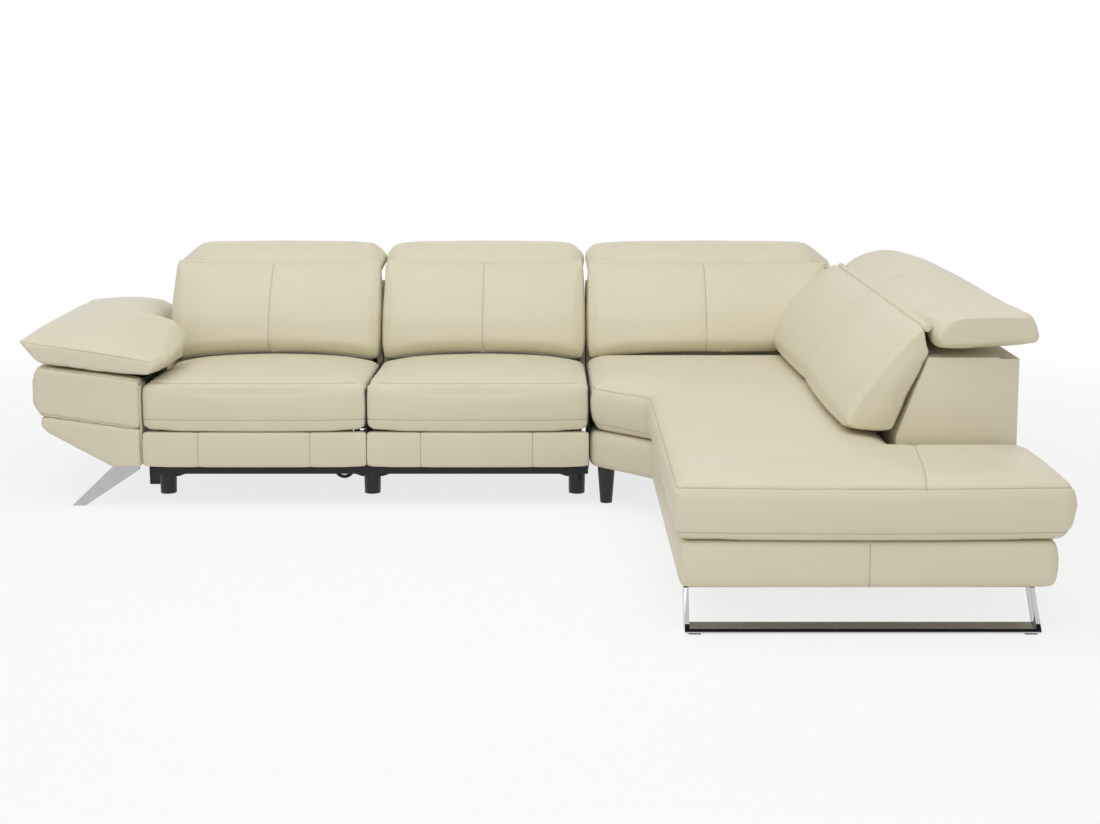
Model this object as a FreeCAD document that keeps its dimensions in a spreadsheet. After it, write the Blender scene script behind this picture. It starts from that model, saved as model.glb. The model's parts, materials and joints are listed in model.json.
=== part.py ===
import FreeCAD, Part
import math
import os
import Sketcher

Vector = FreeCAD.Vector
document = FreeCAD.newDocument("corner_sofa")

# Driving dimensions, in millimetres and degrees
dimensions = {
    # Plan of the whole sofa
    "arm_width": 395,
    "seat_width": 740,
    "corner_width": 177,
    "chaise_width": 1034,
    "headrest_overhang": 29,
    "seat_depth": 530,
    "back_depth": 470,
    "chaise_length": 1384,
    "chaise_bulge": 15,
    "unit_gap": 3,
    # Heights of the seats
    "leg_height": 130,
    "panel_height": 119,
    "seam_gap": 3,
    "seat_height": 419,
    "chaise_seam_height": 396,
    "seat_rear_height": 430,
    "seat_crown": 8,
    "seat_front_bulge": 8,
    "seat_overlap": 65,
    "seat_side_drop": 16,
    # Back cushions
    "hinge_height": 738,
    "hinge_setback": 195,
    "chaise_back_setback": 223,
    "back_foot_height": 440,
    "back_underside": 434,
    "back_bulge": 16,
    "back_side_drop": 26,
    "back_overhang": 24,
    # Back shells
    "shell_depth": 235,
    "chaise_shell_depth": 263,
    "shell_height": 650,
    "shell_bottom": 235,
    "shell_wall": 18,
    # Headrests
    "headrest_length": 275,
    "chaise_headrest_length": 321,
    "headrest_crown": 53,
    "headrest_edge": 758,
    "headrest_underside": 678,
    "headrest_side_drop": 20,
    "chaise_back_end": 491,
    # Arm
    "arm_depth": 950,
    "arm_block_gap": 12,
    "arm_shoulder_height": 470,
    "arm_inner_height": 410,
    "arm_seam_outer": 305,
    "arm_seam_inner": 260,
    "arm_underside": 134,
    "arm_pad_length": 985,
    "arm_pad_lift": 12,
    "arm_pad_tip_height": 540,
    "arm_pad_rise": 72,
    "arm_panel_thickness": 5,
    "arm_leg_thickness": 12,
    "arm_leg_spread": 140,
    "arm_leg_reach": 93,
    "arm_leg_width": 45,
    "arm_axis_rise": 6.5,
    "arm_axis_inset": 5,
    "arm_hinge_start": 90,
    "arm_hinge_length": 340,
    "arm_leaf_length": 58,
    # Steel base under the recliners
    "foot_radius": 22,
    "foot_inset": 38,
    "foot_front": 205,
    "foot_rear": 850,
    "foot_height": 90,
    "rail_height": 30,
    "rail_width": 25,
    "track_rear": 590,
    # Seat mechanism
    "lug_inset": 20,
    "link_thickness": 5,
    "link_gap": 2,
    "plate_thickness": 4,
    "pivot_depth": 62,
    "pivot_height": 225,
    "long_link": 150,
    "short_link": 145,
    "long_link_angle": 188,
    "short_link_angle": 2,
    "link_half_width": 12,
    "pin_radius": 5,
    "running_clearance": 0.4,
    "panel_thickness": 41,
    "frame_bottom": 262,
    "frame_top": 300,
    "cushion_wall": 26,
    "cavity_clearance": 2.3,
    "recline_pivot_depth": 660,
    "recline_pivot_height": 330,
    # Chords in a padded side's bulge
    "bulge_chords": 6,
    # Hinge leaves
    "knuckle_radius": 4,
    "hinge_pin_radius": 2,
    "leaf_thickness": 2.4,
    # Legs of the corner unit
    "corner_leg_top": 30,
    "corner_leg_foot": 20,
    "sled_bar": 12,
    "sled_depth": 60,
    "sled_setback": 24,
    "glide_height": 5,
    "inner_corner_depth": 155,
    "chaise_base_inset": 23,
    "mitre_gap": 20,
    # Cable loop under the first recliner
    "cable_radius": 6,
    "cable_bend": 30,
}

sheet = document.addObject("Spreadsheet::Sheet", "sizes")
for row, (name, number) in enumerate(dimensions.items(), start=1):
    sheet.set("A%d" % row, name)
    sheet.set("B%d" % row, str(number))
    sheet.setAlias("B%d" % row, name)
document.recompute()
places = document.addObject("App::VarSet", "places")


class Size:
    # A length that carries both its number and the formula that binds it to the sheet
    def __init__(self, number, formula):
        self.number = float(number)
        self.formula = formula

    def joined(self, sign, other, number):
        text = other.formula if isinstance(other, Size) else repr(other)
        return Size(number, "(%s %s %s)" % (self.formula, sign, text))

    def __add__(self, other):
        return self.joined("+", other, self.number + float(other))

    def __sub__(self, other):
        return self.joined("-", other, self.number - float(other))

    def __mul__(self, other):
        return self.joined("*", other, self.number * float(other))

    def __truediv__(self, other):
        return self.joined("/", other, self.number / float(other))

    def __radd__(self, other):
        return self + other

    def __rsub__(self, other):
        return -self + other

    def __rmul__(self, other):
        return self * other

    def __neg__(self):
        return Size(-self.number, "(0 - %s)" % self.formula)

    def __float__(self):
        return self.number

    def __int__(self):
        return int(self.number)


def dimension(name):
    return Size(sheet.get(name), "sizes." + name)


def place(name, value):
    # Keeps a worked-out position as a named property that follows the sheet
    places.addProperty("App::PropertyFloat", name)
    places.setExpression(name, value.formula)
    return Size(value.number, "places." + name)


def formula(value):
    return value.formula if isinstance(value, Size) else repr(float(value))


arm_width = dimension("arm_width")
seat_width = dimension("seat_width")
corner_width = dimension("corner_width")
chaise_width = dimension("chaise_width")
seat_depth = dimension("seat_depth")
back_depth = dimension("back_depth")
chaise_length = dimension("chaise_length")
unit_gap = dimension("unit_gap")
seam_gap = dimension("seam_gap")
clearance = dimension("running_clearance")
link_thickness = dimension("link_thickness")
link_gap = dimension("link_gap")
pin_radius = dimension("pin_radius")

# Places across the sofa, from the arm to the chaise
total_width = arm_width + seat_width * 2 + corner_width + chaise_width + dimension("headrest_overhang")
left_edge = place("left_edge", -(total_width / 2))
right_edge = place("right_edge", total_width / 2)
left_seat = place("left_seat", left_edge + arm_width)
middle_seat = place("middle_seat", left_seat + seat_width)
corner_left = place("corner_left", middle_seat + seat_width)
chaise_left = place("chaise_left", corner_left + corner_width)
chaise_right = place("chaise_right", chaise_left + chaise_width)
chaise_hinge = place("chaise_hinge", right_edge - dimension("chaise_headrest_length"))
chaise_outer = place("chaise_outer", chaise_hinge + dimension("chaise_shell_depth"))

# Places from the chaise's front to the rear edge of the headrests
total_depth = chaise_length + dimension("chaise_bulge") + seat_depth + back_depth
rear_edge = place("rear_edge", total_depth / 2)
back_line = place("back_line", rear_edge - back_depth)
seat_front = place("seat_front", back_line - seat_depth)
chaise_front = place("chaise_front", seat_front - chaise_length)
seat_rear = place("seat_rear", back_line + dimension("seat_overlap"))
hinge_line = place("hinge_line", rear_edge - dimension("headrest_length"))
shell_rear = place("shell_rear", hinge_line + dimension("shell_depth"))
chaise_back_near = place("chaise_back_near", chaise_front + dimension("chaise_back_end"))

# Heights
panel_bottom = dimension("leg_height")
gap_line = place("gap_line", dimension("leg_height") + dimension("panel_height"))
seat_bottom = place("seat_bottom", gap_line + seam_gap / 2)
base_top = place("base_top", gap_line - seam_gap / 2)
hinge_height = dimension("hinge_height")
rail_top = place("rail_top", dimension("foot_height") + dimension("rail_height"))
document.recompute()

ORIGIN_ROLE = {"plan": "XY_Plane", "front": "XZ_Plane", "side": "YZ_Plane"}
finished = []


# General operations
def keep(piece):
    finished.append(piece)
    return piece


def bind(piece, **sizes):
    for name, value in sizes.items():
        piece.setExpression(name.replace("_dot_", "."), formula(value))


def move_to(piece, x, y, z):
    bind(piece, Placement_dot_Base_dot_x=x, Placement_dot_Base_dot_y=y, Placement_dot_Base_dot_z=z)


def box(name, corner, size):
    piece = document.addObject("Part::Box", name)
    bind(piece, Length=size[0], Width=size[1], Height=size[2])
    move_to(piece, *corner)
    return piece


def rod(name, centre, radius, length, axis="X"):
    # A round bar that starts at its centre and runs along an axis
    piece = document.addObject("Part::Cylinder", name)
    turn = {"X": (Vector(0, 1, 0), 90), "Y": (Vector(1, 0, 0), -90), "Z": (Vector(0, 0, 1), 0)}[axis]
    piece.Placement = FreeCAD.Placement(Vector(), FreeCAD.Rotation(*turn))
    bind(piece, Radius=radius, Height=length)
    move_to(piece, *centre)
    return piece


def fused(name, pieces):
    piece = document.addObject("Part::MultiFuse", name)
    piece.Shapes = pieces
    return piece


def cut(name, base, tool):
    piece = document.addObject("Part::Cut", name)
    piece.Base = base
    piece.Tool = tool
    return piece


def group(name, pieces):
    piece = document.addObject("Part::Compound", name)
    piece.Links = pieces
    return piece


def draw_polygon(sketch, points):
    # Straight-sided outline whose corners are bound to the sheet
    first = sketch.GeometryCount
    count = len(points)
    for index, (a, b) in enumerate(points):
        c, d = points[(index + 1) % count]
        line = Part.LineSegment(Vector(float(a), float(b), 0), Vector(float(c), float(d), 0))
        sketch.addGeometry(line, False)
    for index in range(count):
        follower = first + (index + 1) % count
        sketch.addConstraint(Sketcher.Constraint("Coincident", first + index, 2, follower, 1))
    for index, (a, b) in enumerate(points):
        for kind, value in (("DistanceX", a), ("DistanceY", b)):
            rule = Sketcher.Constraint(kind, -1, 1, first + index, 1, float(value))
            number = sketch.addConstraint(rule)
            sketch.setExpression("Constraints[%d]" % number, formula(value))


def draw_circle(sketch, centre, radius):
    a, b = centre
    circle = Part.Circle(Vector(float(a), float(b), 0), Vector(0, 0, 1), float(radius))
    index = sketch.addGeometry(circle, False)
    for kind, value in (("DistanceX", a), ("DistanceY", b)):
        number = sketch.addConstraint(Sketcher.Constraint(kind, -1, 1, index, 3, float(value)))
        sketch.setExpression("Constraints[%d]" % number, formula(value))
    number = sketch.addConstraint(Sketcher.Constraint("Radius", index, float(radius)))
    sketch.setExpression("Constraints[%d]" % number, formula(radius))


def plate(name, view, outlines, start, thickness, holes=()):
    # A flat piece drawn in plan, front or side view, from start along the view's axis
    body = document.addObject("PartDesign::Body", name)
    sketch = body.newObject("Sketcher::SketchObject", name + "_outline")
    planes = [plane for plane in body.Origin.OriginFeatures if plane.Role == ORIGIN_ROLE[view]]
    sketch.AttachmentSupport = [(planes[0], "")]
    sketch.MapMode = "FlatFace"
    for points in outlines:
        draw_polygon(sketch, points)
    for centre, radius in holes:
        draw_circle(sketch, centre, radius)
    pad = body.newObject("PartDesign::Pad", name + "_pad")
    pad.Profile = sketch
    bind(pad, Length=thickness)
    pad.Reversed = view == "front"
    axis = {"plan": "z", "front": "y", "side": "x"}[view]
    body.setExpression("Placement.Base." + axis, formula(start))
    body.Tip = pad
    return body


def rounded(body, radius, chosen):
    # Rounds the edges of a body that the chosen test picks
    document.recompute()
    tip = body.Tip
    names = ["Edge%d" % (i + 1) for i, edge in enumerate(tip.Shape.Edges) if chosen(edge)]
    fillet = body.newObject("PartDesign::Fillet", body.Name + "_round")
    fillet.Base = (tip, names)
    fillet.Radius = float(radius)
    body.Tip = fillet
    return body


def upright(axis):
    # Tells whether an edge is straight and runs along the axis
    def test(edge):
        if edge.Curve.TypeId != "Part::GeomLine":
            return False
        return abs(edge.Curve.Direction.dot(axis)) > 0.999
    return test


# Soft forms: outlines whose sides may bulge, lofted
def outline(points, lay):
    # Closed wire through (a, b, bulge) points, where a bulge swells the next side outwards in short chords
    chords = int(dimension("bulge_chords"))
    corners = []
    for (a, b, bulge), (c, d, _) in zip(points, points[1:] + points[:1]):
        length = math.hypot(c - a, d - b)
        for step in range(chords if bulge else 1):
            share = step / chords
            swell = 4 * bulge * share * (1 - share) / length
            corners.append(lay(a + (c - a) * share + swell * (d - b), b + (d - b) * share - swell * (c - a)))
    return Part.makePolygon(corners + corners[:1])


def drawn_in(points, inset):
    # The same outline with every side moved inwards
    moved = []
    count = len(points)
    for index in range(count):
        before, here, after = points[index - 1], points[index], points[(index + 1) % count]
        normals = []
        for p, q in ((before, here), (here, after)):
            length = math.hypot(q[0] - p[0], q[1] - p[1])
            normals.append((-(q[1] - p[1]) / length, (q[0] - p[0]) / length))
        (ax, ay), (bx, by) = normals
        share = inset / (1 + ax * bx + ay * by)
        moved.append((here[0] + share * (ax + bx), here[1] + share * (ay + by), here[2]))
    return moved


def plain_points(points):
    return [tuple(float(value) for value in point) for point in points]


def feature(name, shape):
    piece = document.addObject("Part::Feature", name)
    piece.Shape = shape
    return piece


def lofted(name, axis, sections, ruled=True):
    # A padded form through one outline for each place along the axis
    wires = []
    for position, points in sections:
        def lay(a, b, along=float(position)):
            return {"X": Vector(along, a, b), "Y": Vector(a, along, b), "Z": Vector(a, b, along)}[axis]
        wires.append(outline(plain_points(points), lay))
    return feature(name, Part.makeLoft(wires, True, ruled))


def bolster(name, axis, profile, stations):
    # A padded form with one profile, drawn in by its own amount at each station along the axis
    points = plain_points(profile)
    return lofted(name, axis, [(position, drawn_in(points, inset)) for position, inset in stations])


def padded_stations(start, end, drop):
    # Ends that draw in over a seam's width, and a crown towards the middle
    start, end, drop = float(start), float(end), float(drop)
    width = end - start
    shares = ((0, 1), (0.03, 0.55), (0.16, 0.14), (0.5, 0), (0.84, 0.14), (0.97, 0.55), (1, 1))
    return [(start + share * width, drop * part) for share, part in shares]


# Hinges with two leaves and interlocking knuckles
def leaf_hinge(fixed_name, moving_name, axis, span, centre, fixed_leaf, moving_leaf):
    # Each leaf is (angle, length) about the axis, with angles turned from the first cross direction
    radius = float(dimension("knuckle_radius"))
    pin = float(dimension("hinge_pin_radius"))
    thick = float(dimension("leaf_thickness"))
    gap = float(clearance)
    start, end = float(span[0]), float(span[1])
    length = end - start
    knuckles = 3
    pitch = length / knuckles
    shapes = []
    for turn, (angle, reach) in enumerate((fixed_leaf, moving_leaf)):
        root = radius + 5
        leaf = Part.makeBox(length, float(reach) - root, thick, Vector(0, root, -thick / 2))
        for index in range(turn, knuckles, 2):
            low = index * pitch + gap
            wide = pitch - 2 * gap
            tab = Part.makeBox(wide, root + 1, thick, Vector(low, 0, -thick / 2))
            barrel = Part.makeCylinder(radius, wide, Vector(low, 0, 0), Vector(1, 0, 0))
            leaf = leaf.fuse([tab, barrel])
        bore = Part.makeCylinder(pin + (gap if turn else 0), length, Vector(), Vector(1, 0, 0))
        leaf = leaf.cut(bore) if turn else leaf.fuse(bore)
        leaf.rotate(Vector(), Vector(1, 0, 0), angle)
        shapes.append(leaf.removeSplitter())
    pieces = []
    for name, shape in zip((fixed_name, moving_name), shapes):
        piece = feature(name, shape)
        if axis == "X":
            piece.Placement = FreeCAD.Placement(
                Vector(start, float(centre[0]), float(centre[1])), FreeCAD.Rotation())
        else:
            # The cross direction becomes +X, and the hinge runs along Y
            piece.Placement = FreeCAD.Placement(
                Vector(float(centre[0]), end, float(centre[1])), FreeCAD.Rotation(Vector(0, 0, 1), -90))
        pieces.append(keep(piece))
    return pieces


# Arm
def make_arm():
    inner = left_seat - dimension("arm_block_gap")
    depth = dimension("arm_depth")
    shoulder = dimension("arm_shoulder_height")
    inner_height = dimension("arm_inner_height")
    seam_outer = dimension("arm_seam_outer")
    seam_inner = dimension("arm_seam_inner")
    underside = dimension("arm_underside")
    middle = [
        (left_edge + 53, shoulder), (left_edge + 36, shoulder - 42),
        (left_edge + 36, seam_outer + 39), (left_edge + 58, seam_outer + seam_gap / 2),
        (inner, seam_inner + seam_gap / 2), (inner, inner_height),
    ]
    block = plate("arm_middle_block", "front", [middle], seat_front, depth)
    keep(rounded(block, 8, upright(Vector(0, 1, 0))))
    lower = [
        (left_edge + 64, seam_outer - seam_gap), (left_edge + 60, seam_outer - 37),
        (left_edge + 82, seam_outer - 59), (inner - dimension("arm_leg_reach"), underside),
        (inner, underside), (inner, seam_inner - seam_gap / 2),
    ]
    block = plate("arm_lower_block", "front", [lower], seat_front, depth)
    keep(rounded(block, 6, upright(Vector(0, 1, 0))))
    keep(box("arm_side_panel", (inner, seat_front + 20, rail_top + 20),
             (dimension("arm_panel_thickness"), depth - 40, inner_height - rail_top - 25)))
    spread = dimension("arm_leg_spread")
    top = inner - dimension("arm_leg_reach")
    blade = [
        (top, underside), (top - spread, 0), (top - spread + dimension("arm_leg_width"), 0),
        (inner - 6, underside - 12), (inner - 6, underside),
    ]
    legs = []
    for end, where in (("front", seat_front + 14), ("rear", seat_front + depth - 60)):
        legs.append(plate("arm_leg_" + end, "front", [blade], where, dimension("arm_leg_thickness")))
    keep(group("arm_legs", legs))


def make_arm_pad():
    # Each section lists how far the inner side stands in, the tip's rise and the crown
    tip = dimension("arm_pad_tip_height")
    rise = dimension("arm_pad_rise")
    length = float(dimension("arm_pad_length"))
    lift = dimension("arm_pad_lift")
    shoulder = dimension("arm_shoulder_height")
    inner_height = dimension("arm_inner_height")
    shape = (
        (0, 48, 0, 0.18), (0.05, 104, 3, 0.62), (0.13, 126, 6, 0.9), (0.26, 92, 11, 1),
        (0.42, 8, 18, 0.98), (0.53, -54, 24, 0.92), (0.74, -92, 34, 0.78), (0.93, -126, 38, 0.6),
        (1, -160, 24, 0.3),
    )
    sections = []
    for share, inward, up, crown in shape:
        start = 6 if share in (0, 1) else 0
        lower_right = left_seat + min(inward - 60, -13)
        sections.append((seat_front + share * length, [
            (left_edge + start, tip + up, 0),
            (left_edge + 51, shoulder + lift, 0),
            (left_edge + 130, shoulder - 14 + lift, 0),
            (lower_right, inner_height + 2 + lift + (0 - min(inward - 47, 0)) * 0.18, 4),
            (left_seat + inward, inner_height + 62 + up * 0.8, rise * crown),
        ]))
    keep(lofted("arm_pad", "Y", sections))
    rise_to_axis = dimension("arm_axis_rise")
    axis = (left_seat - dimension("arm_axis_inset"), inner_height + rise_to_axis)
    start = seat_front + dimension("arm_hinge_start")
    span = (start, start + dimension("arm_hinge_length"))
    # The moving leaf leans so that its edge carries the pad's underside
    reach = float(dimension("arm_leaf_length"))
    slope = (float(shoulder) - float(inner_height) - 16) / (float(arm_width) - 143)
    tip_rise = float(lift) + 2 - float(rise_to_axis) + slope * (reach - 8) - 1.8
    turn = 180 - math.degrees(math.asin(tip_rise / reach))
    leaf_hinge("arm_hinge_fixed_leaf", "arm_hinge_pad_leaf", "Y", span, axis, (-90, 46), (turn, reach))


# Steel base, feet and slide tracks under the recliners
def make_recliner_base():
    foot = dimension("foot_radius")
    inset = dimension("foot_inset")
    width = dimension("rail_width")
    front = dimension("foot_front") + seat_front
    rear = dimension("foot_rear") + seat_front
    track_rear = dimension("track_rear") + seat_front
    left = left_seat + inset - width / 2
    right = corner_left - inset + width / 2
    outer = [(left, front), (right, front), (right, rear + width), (left, rear + width)]
    bays = []
    for low, high in ((front + width, track_rear - width), (track_rear, rear)):
        for start, end in ((left + width, middle_seat - width / 2), (middle_seat + width / 2, right - width)):
            bays.append([(start, low), (end, low), (end, high), (start, high)])
    rails = plate("base_rails", "plan", [outer] + bays, dimension("foot_height"), dimension("rail_height"))
    feet = []
    gussets = []
    for across, x in enumerate((left_seat + inset, middle_seat, corner_left - inset)):
        for along, y in enumerate((front, rear + width / 2)):
            name = "foot_%d%d" % (across, along)
            post = rod(name, (x, y, 0), foot, dimension("foot_height"), "Z")
            soft = document.addObject("Part::Chamfer", name + "_edge")
            soft.Base = post
            soft.Edges = [(3, 3.0, 3.0)]
            feet.append(soft)
        drop = dimension("foot_height") - 34
        for side in (-1, 1):
            if across == 0 and side < 0 or across == 2 and side > 0:
                continue
            start = x + side * (foot + 0.5)
            gussets.append(plate("gusset_%d%d" % (across, side + 1), "front", [[
                (start, dimension("foot_height")), (start, drop), (start + side * 14, drop),
                (start + side * 110, dimension("foot_height"))]], front, 6))
    keep(group("recliner_feet", feet))
    keep(fused("recliner_base_frame", [rails] + gussets))


# One recliner, from its left side at the given place
def mirrored(left, inset, thickness):
    # Places of a piece near each side of a seat, at the same distance in from both
    return (("outer", left + inset), ("inner", left + seat_width - inset - thickness))


def turned_link(name, length, angle, x, y, z):
    # A flat link with an eye at each end, lying in a plane across the sofa
    half = dimension("link_half_width")
    bore = pin_radius + clearance
    bar = box(name + "_bar", (0, -half, 0), (length, half * 2, link_thickness))
    eyes = [bar]
    holes = []
    for end, along in (("a", 0), ("b", length)):
        centre = (along, 0, 0)
        eyes.append(rod(name + "_eye_" + end, centre, half, link_thickness, "Z"))
        holes.append(rod(name + "_bore_" + end, centre, bore, link_thickness, "Z"))
    link = cut(name, fused(name + "_blank", eyes), fused(name + "_bores", holes))
    turn = math.radians(float(angle))
    along = Vector(0, -math.cos(turn), math.sin(turn))
    link.Placement = FreeCAD.Placement(
        Vector(), FreeCAD.Rotation(along, Vector(1, 0, 0).cross(along), Vector(1, 0, 0), "ZXY"))
    move_to(link, x, y, z)
    return link


def make_seat_cushion(side, left):
    right = left + seat_width
    start, end = left + unit_gap / 2, right - unit_gap / 2
    bulge = dimension("seat_front_bulge")
    profile = [
        (seat_front + bulge, seat_bottom, 0),
        (seat_rear, seat_bottom, 0),
        (seat_rear, dimension("seat_rear_height"), dimension("seat_crown")),
        (seat_front + bulge, dimension("seat_height"), bulge),
    ]
    form = bolster("seat_cushion_" + side + "_form", "X", profile,
                   padded_stations(start, end, dimension("seat_side_drop")))
    wall = dimension("cushion_wall") + unit_gap / 2
    cavity = box("seat_cavity_" + side,
                 (left + wall, seat_front + dimension("panel_thickness") + 4, seat_bottom - 20),
                 (seat_width - wall * 2, seat_depth + dimension("seat_overlap"),
                  dimension("frame_top") + dimension("cavity_clearance") - seat_bottom + 20))
    keep(cut("seat_cushion_" + side, form, cavity))


def make_footrest(side, left):
    thickness = dimension("plate_thickness")
    pivot = (seat_front + dimension("pivot_depth"), dimension("pivot_height"))
    lug = dimension("lug_inset")
    strut_inset = lug + link_thickness + link_gap
    arm_inset = strut_inset + link_thickness + link_gap
    plate_inset = arm_inset + link_thickness + link_gap
    long_turn = math.radians(float(dimension("long_link_angle")))
    short_turn = math.radians(float(dimension("short_link_angle")))
    long_link, short_link = dimension("long_link"), dimension("short_link")
    knee = (pivot[0] - long_link * math.cos(long_turn), pivot[1] + long_link * math.sin(long_turn))
    end = (knee[0] - short_link * math.cos(short_turn), knee[1] + short_link * math.sin(short_turn))

    arms, struts, knee_pins, end_pins, lugs = [], [], [], [], []
    for hand, x in mirrored(left, arm_inset, link_thickness):
        arms.append(turned_link("footrest_arm_%s_%s" % (side, hand), long_link,
                                dimension("long_link_angle"), x, *pivot))
    for hand, x in mirrored(left, strut_inset, link_thickness):
        struts.append(turned_link("footrest_strut_%s_%s" % (side, hand), short_link,
                                  dimension("short_link_angle"), x, *knee))
    keep(group("footrest_struts_" + side, struts))

    # Pins with thin heads join the links and lugs
    span = link_thickness * 2 + link_gap
    for pins, inset, centre in ((knee_pins, strut_inset, knee), (end_pins, lug, end)):
        for hand, x in mirrored(left, inset, span):
            name = "%s_pin_%s_%s" % ("knee" if pins is knee_pins else "end", side, hand)
            shank = rod(name + "_shank", (x - 1, *centre), pin_radius, span + 2)
            heads = [rod(name + "_head_a", (x - 1.2, *centre), pin_radius + 2.5, 1),
                     rod(name + "_head_b", (x + span + 0.2, *centre), pin_radius + 2.5, 1)]
            pins.append(fused(name, [shank] + heads))

    # Lugs on the back of the footrest panel
    face = seat_front + dimension("panel_thickness")
    for hand, x in mirrored(left, lug, link_thickness):
        name = "footrest_lug_%s_%s" % (side, hand)
        flange_x = x - 15 if hand == "outer" else x
        flange = box(name + "_flange", (flange_x, face, end[1] - 44), (link_thickness + 15, 3, 76))
        web = box(name + "_web", (x, face, end[1] - dimension("link_half_width")),
                  (link_thickness, end[0] - face, dimension("link_half_width") * 2))
        boss = rod(name + "_boss", (x, *end), dimension("link_half_width"), link_thickness)
        bore = rod(name + "_bore", (x - 1, *end), pin_radius + clearance, link_thickness + 2)
        lugs.append(cut(name, fused(name + "_blank", [flange, web, boss]), bore))
    keep(group("footrest_lugs_" + side, lugs + end_pins))

    # Padded panel that closes the front and carries the calves when it is out
    start, stop = left + unit_gap / 2, left + seat_width - unit_gap / 2
    sections = []
    for position, inset in padded_stations(start, stop, 7):
        low, high = panel_bottom + 1 + inset, gap_line - seam_gap - inset
        front = seat_front + 6 + inset
        sections.append((position, [(front, low, 0), (face, low, 0), (face, high, 0), (front, high, 6)]))
    keep(lofted("footrest_panel_" + side, "X", sections))

    # Torque tube that turns both long links together
    inner_face = plate_inset + thickness
    tube = rod("torque_tube_%s_bar" % side, (left + inner_face + 1, *pivot), 9,
               seat_width - inner_face * 2 - 2)
    stub = rod("torque_tube_%s_stub" % side, (left + arm_inset + 0.5, *pivot), pin_radius,
               seat_width - arm_inset * 2 - 1)
    keep(group("footrest_arms_" + side, arms + knee_pins + [fused("torque_tube_" + side, [tube, stub])]))
    return plate_inset, pivot


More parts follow.
